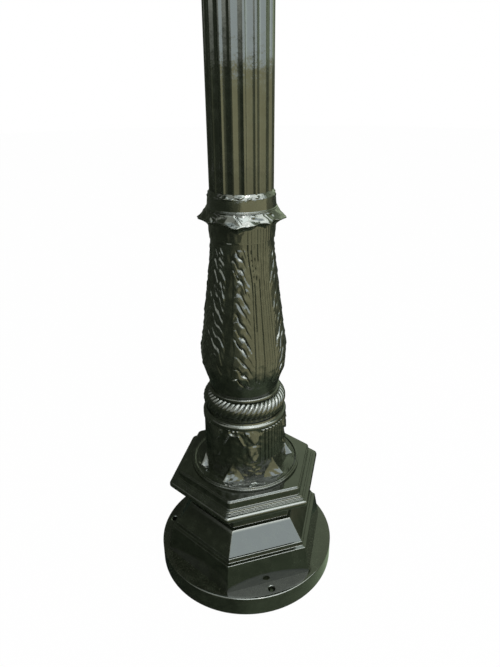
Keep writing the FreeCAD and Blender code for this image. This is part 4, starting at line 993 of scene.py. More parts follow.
@dataclass
class LeafDrum:
    """The drum on the disc: three curled leaves, reeded panels between them, and splayed feet in pairs."""

    foot_radius: float = 82.5
    waist_radius: float = 79.3
    lip_radius: float = 81.6
    neck_radius: float = 76.8
    bore: float = 26.0
    leaves: int = 3
    leaf_turn: float = -16.5
    leaf_half: float = 38.5
    reed_pitch: float = 6.0
    reed_foot: float = 34.0
    reed_head: float = 110.0
    star_turn: float = 11.5
    foot_turn: float = 29.0
    foot_reach: float = 15.5
    foot_height: float = 37.0
    scroll_level: float = 110.0
    lobes: tuple[tuple[float, ...], ...] = (
        (41.0, 116, 84, 11.0, 5.4), (40.0, 73, 45, 9.5, 5.0), (29.0, 114, 100, 5.0, 3.4))
    columns: int = 480
    foot_level: float = field(init=False, default=0.0)

    def reeds(self, beside: Array, base: Array) -> Array:
        """Half-round reeds, each the root of a sine, with a bead at its head and a rib beside the panel.

        Args:
            beside: degrees from a leaf's middle.
            base: heights above the drum's foot.

        Returns:
            What is added to the radius.
        """
        head = self.reed_head
        panel = step(np.abs(beside), self.leaf_half + 0.5, self.leaf_half + 1.5)
        span = step(base, self.reed_foot, self.reed_foot + 6) * (1 - step(base, head - 5, head - 3))
        reed = np.sqrt(np.abs(np.cos(np.radians(wrapped(beside - 60, 120) * 180 / self.reed_pitch))))
        bead = half_round((base - head) / 3.2) * reed
        rib = hump(np.abs(beside) - self.leaf_half, 1.2) * step(base, 30, 44) * (1 - step(base, 100, 108))
        return panel * (span * (2.4 * reed - 1.6) + 2.9 * bead) + 1.6 * rib

    def curls(self, arc: Array, base: Array) -> Array:
        """A leaf's scroll, its slanting ridges, and the lobes that hang down either side and are undercut.

        A lobe is a half round across a middle that leans out as it goes down, and its end is round.

        Args:
            arc: millimetres round the drum from the leaf's middle.
            base: heights above the drum's foot.

        Returns:
            What is added to the radius.
        """
        side = np.abs(arc)
        ring = np.hypot(arc, base - self.scroll_level)
        total = 3.4 * hump(ring, 3.0) + 3.2 * hump(ring - 8.5, 2.1)
        along = np.clip((103 - base) / 24, 0, 1)
        ridge = hump(side - 9.5 - 11 * along, 2.4) * step(base, 74, 82) * (1 - step(base, 100, 107))
        total = total + 3.4 * ridge
        for across, top, foot, wide, high in self.lobes:
            down = np.clip((top - base) / (top - foot), 0, 1)
            half = wide * np.sqrt(np.clip(1.02 - np.square(np.clip((down - 0.62) / 0.38, 0, 1)), 0, 1))
            out = side - (across - 4.0 * (1 - down))
            bulge = half_round(out / np.maximum(half, 0.3))
            shown = step(down, 0.0, 0.5) * (1 - step(down, 0.985, 1.0))
            total = total + high * (0.25 + 0.75 * down) * bulge * shown
            total = total + 0.6 * hump(np.hypot(out + 2, base - top + 7), 3.0)
        total = total - 3.0 * hump(side - 41, 4.5) * hump(base - 56, 8.0)
        total = total - 2.6 * hump(side - 41, 8) * (hump(base - 78, 3.5) + 0.4 * hump(base - 39, 4.0))
        panel = step(side, 4, 12) * (1 - step(side, 24, 30)) * step(base, 34, 50) * (1 - step(base, 80, 100))
        return total - panel

    def star(self, turn: Array, base: Array) -> Array:
        """A small five-pointed leaf at the drum's foot, whose edge is at 10.5 + 3.5 cos 5a.

        Args:
            turn: angles in degrees.
            base: heights above the drum's foot.

        Returns:
            What is added to the radius.
        """
        across = wrapped(turn - self.star_turn, 120.0) * math.radians(self.foot_radius)
        up = base - 17.0
        petals = 10.5 + 3.5 * np.cos(5 * (np.arctan2(up, across) - math.radians(90)))
        return 1.5 * np.sqrt(np.clip(1 - np.hypot(across, up) / petals, 0, 1))

    def feet(self, turn: Array, base: Array) -> Array:
        """Splayed feet in pairs, each a facet that leans out from beside a star to a sharp outer ridge.

        Args:
            turn: angles in degrees.
            base: heights above the drum's foot.

        Returns:
            What is added to the radius.
        """
        side = np.abs(wrapped(turn - self.star_turn, 120.0))
        down = 1 - np.clip(base / self.foot_height, 0, 1)
        ridge = self.foot_turn + 10.5 * down
        facet = np.clip((side - ridge) / (1.0 + 26.0 * down) + 1, 0, 1)
        facet = facet * (1 - step(side, ridge, ridge + 1.5 + 3.5 * down))
        folds = 0.8 * np.sin(0.55 * side + 0.16 * base) * np.sin(0.3 * base + 1.0) * down
        return facet * (self.foot_reach * down**1.4 + folds)

    def relief(self, turn: Array, level: Array) -> Array:
        """Everything that stands out from the drum, with a little unevenness.

        Args:
            turn: angles in degrees.
            level: heights.

        Returns:
            What is added to the radius.
        """
        base = level - self.foot_level
        beside = wrapped(turn - self.leaf_turn, 360.0 / self.leaves)
        leaf = 1 - step(np.abs(beside), self.leaf_half, self.leaf_half + 1.5)
        arc = beside * math.radians(self.waist_radius)
        uneven = 0.3 * wobble(turn, level, 11, 40.0) + 0.2 * wobble(turn, level, 12, 12.0)
        total = self.reeds(beside, base) + leaf * self.curls(arc, base)
        total = total + np.maximum(self.feet(turn, base), self.star(turn, base))
        return total + uneven * (0.25 + 0.75 * leaf) * (1 - step(base, 112, 120))

    def build(self, finishes: Finishes) -> None:
        """Builds the drum from its profile and relief.

        Args:
            finishes: the post's materials.
        """
        foot, top = levels_of("leaf_drum")
        self.foot_level = foot
        waist, lip, neck = self.waist_radius, self.lip_radius, self.neck_radius
        body = corners_rounded([
            (self.foot_radius, foot), (waist + 0.8, foot + 14, 30), (waist, foot + 114, 1.5),
            (lip, foot + 114.6, 0.6), (lip + 0.6, foot + 121, 5), (neck + 1, foot + 124, 1),
            (neck, top)], 0.74)
        profile, carved = with_bore(body, self.bore)
        carved = carved * (1 - step(profile[:, 1], foot + 113, foot + 115))
        grid = turned_grid(profile, self.columns, self.relief, carved)
        loop_piece("leaf_drum_casting", "leaf_drum", grid, finishes.casting)


@dataclass
class RopeRing:
    """The ring of slanting lobes between the drum and the vase."""

    tube: float = 19.6
    centre_radius: float = 60.0
    lobes: int = 46
    depth: float = 2.9
    slant: float = -3.1
    filled_turn: float = -18.0
    skirt_radius: float = 74.0
    band_radius: float = 69.5
    bore: float = 26.0
    rows: int = 44
    lobe_columns: int = 14

    def build(self, finishes: Finishes) -> None:
        """Builds the ring: a tube whose radius is the root of a sine, slanted with the way round it.

        Old paint fills the grooves at one turn, and a short skirt below closes the gap to the drum.

        Args:
            finishes: the post's materials.
        """
        foot, top = levels_of("rope_ring")
        middle = foot + (top - 8.0 - foot) / 2 + 1.0
        swing = np.radians(np.linspace(-44.0, 82.0, self.rows))[:, None]
        turn = np.linspace(0.0, 360.0, self.lobes * self.lobe_columns, endpoint=False)[None, :]
        phase = self.lobes / 2 * np.radians(turn) + self.slant * swing
        filled = hump(wrapped(turn - self.filled_turn, 360.0), 8.0)
        lobe = lobed(phase, 0.02) * (1 - 0.75 * filled) + 0.7 * filled
        reach = self.tube - self.depth + self.depth * lobe * step(np.cos(swing), 0.0, 0.35)
        radius = self.centre_radius + reach * np.cos(swing) * 1.04
        level = middle + reach * np.sin(swing) * 1.02
        edge, skirt = self.band_radius, self.skirt_radius
        band = corners_rounded([
            (edge - 4, top - 8), (edge, top - 7, 1.5), (edge, top - 1, 2.2), (edge - 6, top),
            (self.bore, top), (self.bore, foot), (skirt - 1, foot), (skirt, foot + 1, 0.6),
            (skirt, foot + 4)], 3.0)
        band = np.broadcast_to(band[:, None, :], (len(band), turn.shape[1], 2))
        radius = np.concatenate([radius, band[:, :, 0]])
        level = np.concatenate([level, band[:, :, 1]])
        angle = np.radians(turn + FRONT)
        grid = np.stack([radius * np.cos(angle), radius * np.sin(angle), level], axis=-1)
        loop_piece("rope_ring_lobes", "rope_ring", grid, finishes.casting)


@dataclass
class LeafVase:
    """The vase wrapped in two great leaves, each with a fluted stalk and curling lobes either side."""

    silhouette: tuple[tuple[float, float], ...] = (
        (66.0, 0.0), (70.3, 18.0), (75.0, 32.0), (78.8, 48.0), (80.4, 68.0), (80.4, 84.0), (77.6, 104.0),
        (74.2, 130.0), (70.2, 162.0), (66.2, 193.0), (62.2, 223.0), (58.9, 253.0), (57.0, 276.0),
        (56.6, 292.0))
    stalk_turn: float = 30.0
    stalk_half: float = 15.5
    stalk_flutes: int = 7
    lobe_pitch: float = 24.0
    lobe_depth: float = 0.5
    fold_start: float = 38.0
    fold_end: float = 52.0
    bore: float = 26.0
    columns: int = 440
    foot_level: float = field(init=False, default=0.0)

    def stalk(self, beside: Array, span: Array, up: Array) -> Array:
        """Round-ended flutes side by side, each the root of a sine across.

        Args:
            beside: degrees from the stalk's middle.
            span: half the stalk's width, in degrees.
            up: heights above the vase's foot.

        Returns:
            What is added to the radius.
        """
        low = 30 + 10 * np.square(beside / self.stalk_half)
        flute = lobed(np.pi * (beside / span * self.stalk_flutes / 2 + 0.5), 0.01)
        return step(up, low, low + 9) * (0.5 + 1.7 * (flute - 0.5))

    def relief(self, turn: Array, level: Array) -> Array:
        """The stalk's flutes, the curled lobes beside it, a smooth fold, and sharp ribs to the leaf's edge.

        Going out from the stalk, a vein rises by 34 (1 - exp(-s / 20)) + 0.75 s at s millimetres, and
        steeper past 50. A lobe is 1 - (2t - 1) squared, with t going from 0 to 1 between two veins. Each
        lobe's slot, eye and height are its own, from a sine of its number.

        Args:
            turn: angles in degrees.
            level: heights.

        Returns:
            What is added to the radius.
        """
        up = level - self.foot_level
        beside = wrapped(turn - self.stalk_turn, 180.0)
        span = self.stalk_half * (1 + 0.4 * step(up, 215, 288))
        arc = np.clip(np.abs(beside) - span, 0, None) * math.radians(70.0)
        arc = arc + 1.6 * wobble(turn * 0, level, 33, 60.0) * step(arc, 6, 30)
        on_stalk = 1 - step(np.abs(beside), span - 0.6, span + 0.8)
        rise = 34 * (1 - np.exp(-arc / 20)) + 0.75 * arc + 0.4 * np.clip(arc - 50, 0, None)
        row = (up - rise + 4 + 4.0 * wobble(turn, level, 31, 110.0) * step(arc, 2, 14)) / self.lobe_pitch
        inside = row - np.floor(row)
        own = 0.5 + 0.5 * np.sin(2.4 * np.floor(row) + 1.0)
        leaf = (1 - on_stalk) * step(up, 20 + 0.3 * arc, 34 + 0.3 * arc) * (1 - step(up, 274, 288))
        lobes = leaf * (1 - step(arc, self.fold_start - 3, self.fold_start))
        ribs = leaf * step(arc, self.fold_end, self.fold_end + 4)
        round_top = 1 - np.square(2 * inside - 1)
        total = on_stalk * self.stalk(beside, span, up)
        total = total + lobes * (0.7 + self.lobe_depth * (0.1 + 1.5 * own) * (round_top - 0.5))
        across = wrapped(inside, 1.0) * self.lobe_pitch
        start = 15 + 11 * own
        deep = 1 - 0.55 * step(up, 110, 180)
        slot = hump(arc - start, 7.5) * hump(across - 1.5, 2.3)
        slash = hump(arc - start - 4, 8.5) * hump(across - 5.5, 1.7)
        eye = hump(np.hypot(arc - 8, across * 0.6) - 4.0, 1.3) * step(own, 0.5, 0.55)
        curl = np.sin(arc / 2.6 + 7 * inside + 9 * own) * step(arc, 8, 14)
        total = total + lobes * (0.9 * slash * own**3 - 4.2 * slot * deep + 0.7 * eye + 0.34 * curl)
        sharp = hump(wrapped(inside - 0.5, 1.0) * self.lobe_pitch, 5.0)
        sharp = sharp + 0.7 * hump(wrapped(inside - 0.04, 1.0) * self.lobe_pitch, 3.4)
        total = total + ribs * (2.4 * sharp * (0.7 + 0.3 * own) - 0.4)
        groove = hump(np.abs(beside) - span - 0.4, 0.9) * step(up, 34, 50) * (1 - step(up, 274, 288))
        uneven = 0.3 * wobble(turn, level, 5, 60.0) + 0.12 * wobble(turn, level, 6, 14.0)
        return total - 0.8 * groove + uneven * step(up, 12, 40) * (1 - step(up, 270, 286))

    def build(self, finishes: Finishes) -> None:
        """Builds the vase from its silhouette and relief.

        Args:
            finishes: the post's materials.
        """
        self.foot_level, _ = levels_of("vase")
        line = [(radius - 1.0, self.foot_level + up) for radius, up in self.silhouette]
        profile, carved = with_bore(spaced(smooth_line(line, 16), 3.0), self.bore)
        grid = turned_grid(profile, self.columns, self.relief, carved)
        loop_piece("leaf_vase_casting", "vase", grid, finishes.casting, crease=70.0)


@dataclass
class LeafCrown:
    """The ring of pointed leaf tips and the plain collar that holds the column."""

    neck_radius: float = 56.8
    lip_radius: float = 66.0
    tip_reach: float = 11.0
    tip_turn: float = -6.0
    rim_up: float = 37.0
    droop: float = 5.5
    collar_foot: float = 51.0
    stalk_turn: float = 30.0
    stalk_half: float = 21.7
    stalk_flutes: int = 7
    collar_radius: float = 59.3
    column_radius: float = 54.8
    columns: int = 560
    foot_level: float = field(init=False, default=0.0)
    collar_top: float = field(init=False, default=0.0)

    def tips(self, turn: Array) -> Array:
        """How far a leaf tip stands out, from 0 to 1: four great points with a smaller one between.

        Args:
            turn: angles in degrees.

        Returns:
            The share at each turn.
        """
        great = np.clip(1 - np.abs(wrapped(turn - self.tip_turn, 90.0)) / 35.0, 0, 1)
        small = 0.55 * np.clip(1 - np.abs(wrapped(turn - self.tip_turn - 45.0, 90.0)) / 15.0, 0, 1)
        return np.maximum(great, small)

    def relief(self, turn: Array, level: Array) -> Array:
        """The star of leaf tips: a keel below each, a drooping rim, and a rumpled face up to the collar.

        Below the rim the reach grows as the square of the way up, and above it the face runs
        straight in to the collar.

        Args:
            turn: angles in degrees.
            level: heights.

        Returns:
            What is added to the radius.
        """
        up = level - self.foot_level
        tip = self.tips(turn)
        lean = 2.0 * wobble(turn, level * 0, 17, 400.0)
        rim_level = self.rim_up - (self.droop + lean) * tip
        rim = self.lip_radius + self.tip_reach * tip + 0.5 * lean
        below = np.clip((up - rim_level + 9 + 7 * tip) / (9 + 7 * tip), 0, 1)
        above = np.clip((up - rim_level - 1.5) / (self.collar_foot - rim_level - 1.5), 0, 1)
        spread = np.where(up < rim_level, below ** 2.4, 1.0)
        face = self.collar_radius + 1.0 + (rim - self.collar_radius - 1.0) * (1 - above ** 0.85)
        plain = self.neck_radius + 1.0
        star = np.where(up < rim_level, plain + (rim - plain) * spread, face)
        under_collar = 1 - step(up, self.collar_foot - 3, self.collar_foot)
        on_face = step(up, rim_level - 1, rim_level + 3) * under_collar
        beside = wrapped(turn - self.stalk_turn, 180.0)
        flute = lobed(np.pi * (beside / self.stalk_half * self.stalk_flutes / 2 + 0.5), 0.01)
        stalk = 1 - step(np.abs(beside), self.stalk_half - 1, self.stalk_half + 1)
        carving = stalk * (1.2 * flute - 0.9) + (1 - stalk) * 0.5 * wobble(turn, level, 51, 26.0)
        carving = carving * step(up, 0, 2) * (1 - step(up, rim_level - 13, rim_level - 5))
        rumple = wobble(turn, level, 21, 12.0) + 0.8 * np.sin(np.radians(9 * turn) + level * 0.5)
        crease = hump(wrapped(turn - self.tip_turn - 6 + 0.8 * (up - 37), 45.0), 1.6)
        rough = np.clip(wobble(turn, level, 8, 7.0) - 0.1, 0, None) * hump(up - self.collar_top, 3.2)
        star = star - plain + on_face * (0.7 * rumple - 1.2 * crease)
        star = star * (1 - step(up, self.collar_foot - 0.5, self.collar_foot + 0.5)) * step(up, 6, 12)
        return star + carving + 1.6 * rough

    def build(self, finishes: Finishes) -> None:
        """Builds the crown: tips added to the flare's radius, and rough paint where the collar ends.

        Args:
            finishes: the post's materials.
        """
        foot, top = levels_of("leaf_crown")
        self.foot_level, self.collar_top = foot, top - foot - 6
        low, neck = foot + self.collar_foot, self.neck_radius
        collar, column = self.collar_radius, self.column_radius
        tube = corners_rounded([
            (neck, foot), (neck + 1, foot + 10), (neck + 1, low - 0.3), (collar + 1.6, low, 0.6),
            (collar + 1.6, low + 2, 0.8), (collar, low + 3, 1), (collar - 1.6, top - 8, 3),
            (column + 1.2, top - 3.5, 2), (column - 1, top)], 0.6)
        profile, carved = with_bore(tube, column - 6)
        grid = turned_grid(profile, self.columns, self.relief, carved)
        loop_piece("leaf_crown_casting", "leaf_crown", grid, finishes.casting)


@dataclass
class FlutedColumn:
    """The fluted tube of the post."""

    radius: float = 54.5
    bore: float = 45.0
    flutes: int = 18
    flute_radius: float = 13.0
    flute_depth: float = 3.2
    edge: float = 0.5
    row_turn: float = 0.0

    def build(self, finishes: Finishes) -> None:
        """Builds the tube.

        A flute is an arc about a centre outside the tube: its radius there is
        d cos a - sqrt(flute radius squared - (d sin a) squared). The smaller of that and the
        tube's radius is taken, blended over the width of an edge.

        Args:
            finishes: the post's materials.
        """
        foot, top = levels_of("fluted_column")
        pitch = 360.0 / self.flutes
        columns = self.flutes * 40
        row_angle = np.linspace(0.0, 360.0, columns, endpoint=False)
        offset = np.radians(wrapped(row_angle - self.row_turn, pitch))
        centre = self.radius - self.flute_depth + self.flute_radius
        inner = np.square(self.flute_radius) - np.square(centre * np.sin(offset))
        inside = centre * np.cos(offset) - np.sqrt(np.clip(inner, 0, None))
        hollow = np.where(inner > 0, inside, self.radius + 5)
        blend = np.clip(0.5 + (self.radius - hollow) / (2 * self.edge), 0, 1)
        outer = self.radius + (hollow - self.radius) * blend - self.edge * blend * (1 - blend)
        rows = [(outer, level) for level in np.linspace(foot, top, 24)]
        rows += [(np.full(columns, self.bore), level) for level in (top, foot)]
        cosine, sine = np.cos(np.radians(row_angle)), np.sin(np.radians(row_angle))
        grid = np.stack([np.stack([radius * cosine, radius * sine, np.full(columns, level)], axis=-1)
                         for radius, level in rows])
        loop_piece("fluted_column_tube", "fluted_column", grid, finishes.tube, 50.0)


def tongues(turn: Array, up: Array, count: int, height: float, depth: float, shift: float = 0.0) -> Array:
    """A ring of upright leaf tongues: rounded tips, a vein down each middle, and tips that curl outwards.

    Args:
        turn: angles in degrees.
        up: heights above the leaves' foot.
        count: leaves in the ring.
        height: how tall they are.
        depth: how far they stand out.
        shift: how far the ring is turned.

    Returns:
        What is added to the radius.
    """
    pitch = 360.0 / count
    across = np.abs(wrapped(turn - shift, pitch)) / (pitch / 2)
    share = np.clip(up / height, 0, 1)
    half = 0.93 * np.sqrt(np.clip(1.0 - np.power(share, 4), 0.0, 1))
    blade = half_round(across / np.maximum(half, 0.05)) * step(up, -0.5, 1.5)
    blade = blade * (1 - step(up, height - 0.5, height))
    veins = 0.3 * np.abs(np.sin(np.pi * (3 * across + 4 * share)))
    curl = 0.7 * hump(share - 0.86, 0.12)
    return depth * blade * (0.5 + 0.35 * share + curl - 0.4 * hump(across, 0.09) - 0.35 * veins)


@dataclass
class Capital:
    """The capital on the column's top: a ringed sleeve, a bell of two rows of leaves, and a round plate."""

    sleeve_radius: float = 61.0
    bell_radius: float = 78.0
    column_radius: float = 54.9
    core_radius: float = 24.6
    top_radius: float = 60.0
    sleeve: float = 25.0
    bell: float = 48.0
    leaves: int = 10
    beads: int = 48
    columns: int = 320
    bell_foot: float = field(init=False, default=0.0)
    bead_level: float = field(init=False, default=0.0)

    def relief(self, turn: Array, level: Array) -> Array:
        """Two rows of leaves on the bell and small beads round the sleeve's upper ring.

        Args:
            turn: angles in degrees.
            level: heights.

        Returns:
            What is added to the radius.
        """
        up = level - self.bell_foot
        low = tongues(turn, up, self.leaves, 21.0, 2.6)
        high = tongues(turn, up - 4, self.leaves, 33.0, 2.2, 180.0 / self.leaves)
        beads = 0.9 * lobed(np.radians(self.beads / 2 * turn)) * hump(level - self.bead_level, 3.0)
        return np.maximum(low, high) + beads + 0.15 * wobble(turn, level, 41, 20.0)

    def build(self, finishes: Finishes) -> None:
        """Builds the capital from the column's top upwards.

        Args:
            finishes: the post's materials.
        """
        foot, top = levels_of("capital")
        seat = foot + self.sleeve
        bell = seat + self.bell
        self.bell_foot, self.bead_level = seat + 11, seat + 1
        sleeve, wide, head = self.sleeve_radius, self.bell_radius, self.top_radius
        outer = corners_rounded([
            (self.column_radius, foot), (sleeve, foot, 1), (sleeve, foot + 8, 3.5),
            (sleeve - 2.2, foot + 10, 1), (sleeve - 2.2, seat - 6, 1), (sleeve - 0.8, seat - 4, 1),
            (sleeve - 0.8, seat + 6, 1.5), (sleeve - 4.5, seat + 9, 2), (sleeve - 4.0, seat + 28, 30),
            (wide - 3, bell - 1, 3), (wide, bell + 1, 1.2), (wide, bell + 10, 3), (head, bell + 16, 6),
            (head, top - 6, 2), (head - 3, top - 4, 1), (head - 3, top, 1), (self.core_radius, top)], 1.2)
        inner = np.array([[self.core_radius, seat + 4], [self.column_radius, seat + 4]])
        bared = step(outer[:, 1], foot + 12, foot + 16) * (1 - step(outer[:, 1], bell - 4, bell - 2))
        carved = np.concatenate([bared, np.zeros(2)])
        grid = turned_grid(np.concatenate([outer, inner]), self.columns, self.relief, carved)
        loop_piece("capital_leaves", "capital", grid, finishes.casting)


@dataclass
class ArmHub:
    """Leaf bands cast round the hub's waist and rings on its bosses, over the plain hub."""

    belly: float = 45.5
    boss_radius: float = 27.0
    boss_reach: float = 74.0
    band: float = 26.0
    band_low: float = 17.0
    leaves: int = 12
    columns: int = 360

    def build_band(self, trim: Surface, start: float, way: float) -> None:
        """Builds one leaf band, whose leaves grow from its start.

        Args:
            trim: takes the band.
            start: the height that it starts at.
            way: 1 where it goes up and -1 where it goes down.
        """
        belly, end = self.belly, start + way * self.band
        profile = corners_rounded([
            (belly - 6, start), (belly + 0.4, start, 1), (belly + 1.2, start + way * 14, 20),
            (belly + 1.6, end), (belly - 6, end)], 1.2)

        def relief(turn: Array, level: Array) -> Array:
            """The band's leaves."""
            return tongues(turn, (level - start) * way, self.leaves, self.band, 2.4)

        carved = np.where(profile[:, 0] > belly - 3, 1.0, 0.0)
        trim.add_loop(turned_grid(profile, self.columns, relief, carved))

    def build_ring(self, trim: Surface, middle: float, way: float, place: tuple[float, float, float]) -> None:
        """Builds one ring on a boss: a half ellipse carried round the boss's axis.

        Args:
            trim: takes the ring.
            middle: the height of the boss.
            way: 1 for the right boss and -1 for the left.
            place: the ring's reach from the post, how far it stands out, and half its width.
        """
        reach, swell, wide = place
        swing = np.radians(np.linspace(-90, 90, 14))
        outer = self.boss_radius - 1 + (swell + 1) * np.cos(swing)
        edge = np.column_stack([outer, reach + wide * np.sin(swing)])
        inner = [[self.boss_radius - 4, reach + wide], [self.boss_radius - 4, reach - wide]]
        ring = turned_grid(np.concatenate([edge, inner]), 96)
        trim.add_loop(np.stack([way * ring[..., 2], ring[..., 1], middle - way * ring[..., 0]], axis=-1))

    def build(self, finishes: Finishes) -> None:
        """Builds the two bands and the four boss rings as one casting's trim.

        Args:
            finishes: the post's materials.
        """
        foot, top = levels_of("arm_hub")
        trim = Surface()
        for start, way in ((foot + self.band_low, 1.0), (top - self.band_low, -1.0)):
            self.build_band(trim, start, way)
        for way in (-1.0, 1.0):
            for place in ((self.boss_reach - 5.0, 1.6, 4.0), (self.boss_reach - 16.0, 1.0, 2.6)):
                self.build_ring(trim, (foot + top) / 2, way, place)
        dress(trim.build("hub_leaf_bands", 60.0), finishes.casting)


@dataclass
class CentreStem:
    """The turned stem on the hub, with a ring of leaves at its foot and a lobed knop."""

    foot_radius: float = 52.0
    waist: float = 21.0
    knop: float = 30.0
    seat_radius: float = 26.0
    spigot_radius: float = 17.0
    bore: float = 13.0
    spigot: float = 32.0
    lobes: int = 16
    knop_round: float = 14.0
    columns: int = 200
    knop_level: float = field(init=False, default=0.0)
    leaf_foot: float = field(init=False, default=0.0)

    def relief(self, turn: Array, level: Array) -> Array:
        """Lobes round the knop and leaves on the foot's sweep.

        Args:
            turn: angles in degrees.
            level: heights.

        Returns:
            What is added to the radius.
        """
        lobe = 1.8 * (lobed(np.radians(self.lobes / 2 * turn)) - 1)
        near = step(self.knop_round - np.abs(level - self.knop_level), 0, 3)
        return lobe * near + tongues(turn, level - self.leaf_foot, 10, 30.0, 2.0)

    def build(self, finishes: Finishes) -> None:
        """Builds the stem from the hub to the lantern's spigot.

        Args:
            finishes: the post's materials.
        """
        foot, top = levels_of("centre_stem")
        seat = top - self.spigot
        middle = foot + (seat - foot) / 2
        self.knop_level, self.leaf_foot = middle, foot + 10
        swing, ball = np.radians(np.linspace(-66, 66, 24)), self.knop_round
        knop = np.column_stack([self.knop - ball + ball * np.cos(swing), middle + ball * np.sin(swing)])
        wide, waist, rim, spigot = self.foot_radius, self.waist, self.seat_radius, self.spigot_radius
        lower = corners_rounded([
            (self.bore, foot), (wide, foot, 0.8), (wide, foot + 7, 3), (wide - 7, foot + 9, 1),
            (waist + 9, foot + 18, 14), (waist - 1, foot + 40, 30), (waist - 1, middle - 16, 1),
            (waist + 1, middle - 15)], 1.0)
        upper = corners_rounded([
            (waist + 1, middle + 15), (waist - 1, middle + 16, 1), (waist - 2, seat - 22, 20),
            (rim, seat - 8, 4), (rim, seat, 2), (spigot, seat), (spigot, top - 1), (spigot - 1, top),
            (self.bore, top)], 1.0)
        profile = np.concatenate([lower, knop, upper])
        radius, level = profile[:, 0], profile[:, 1]
        carved = np.where((radius > 18) & (level > foot + 9) & (level < seat - 24), 1.0, 0.0)
        grid = turned_grid(profile, self.columns, self.relief, carved)
        loop_piece("centre_stem_turning", "centre_stem", grid, finishes.casting)


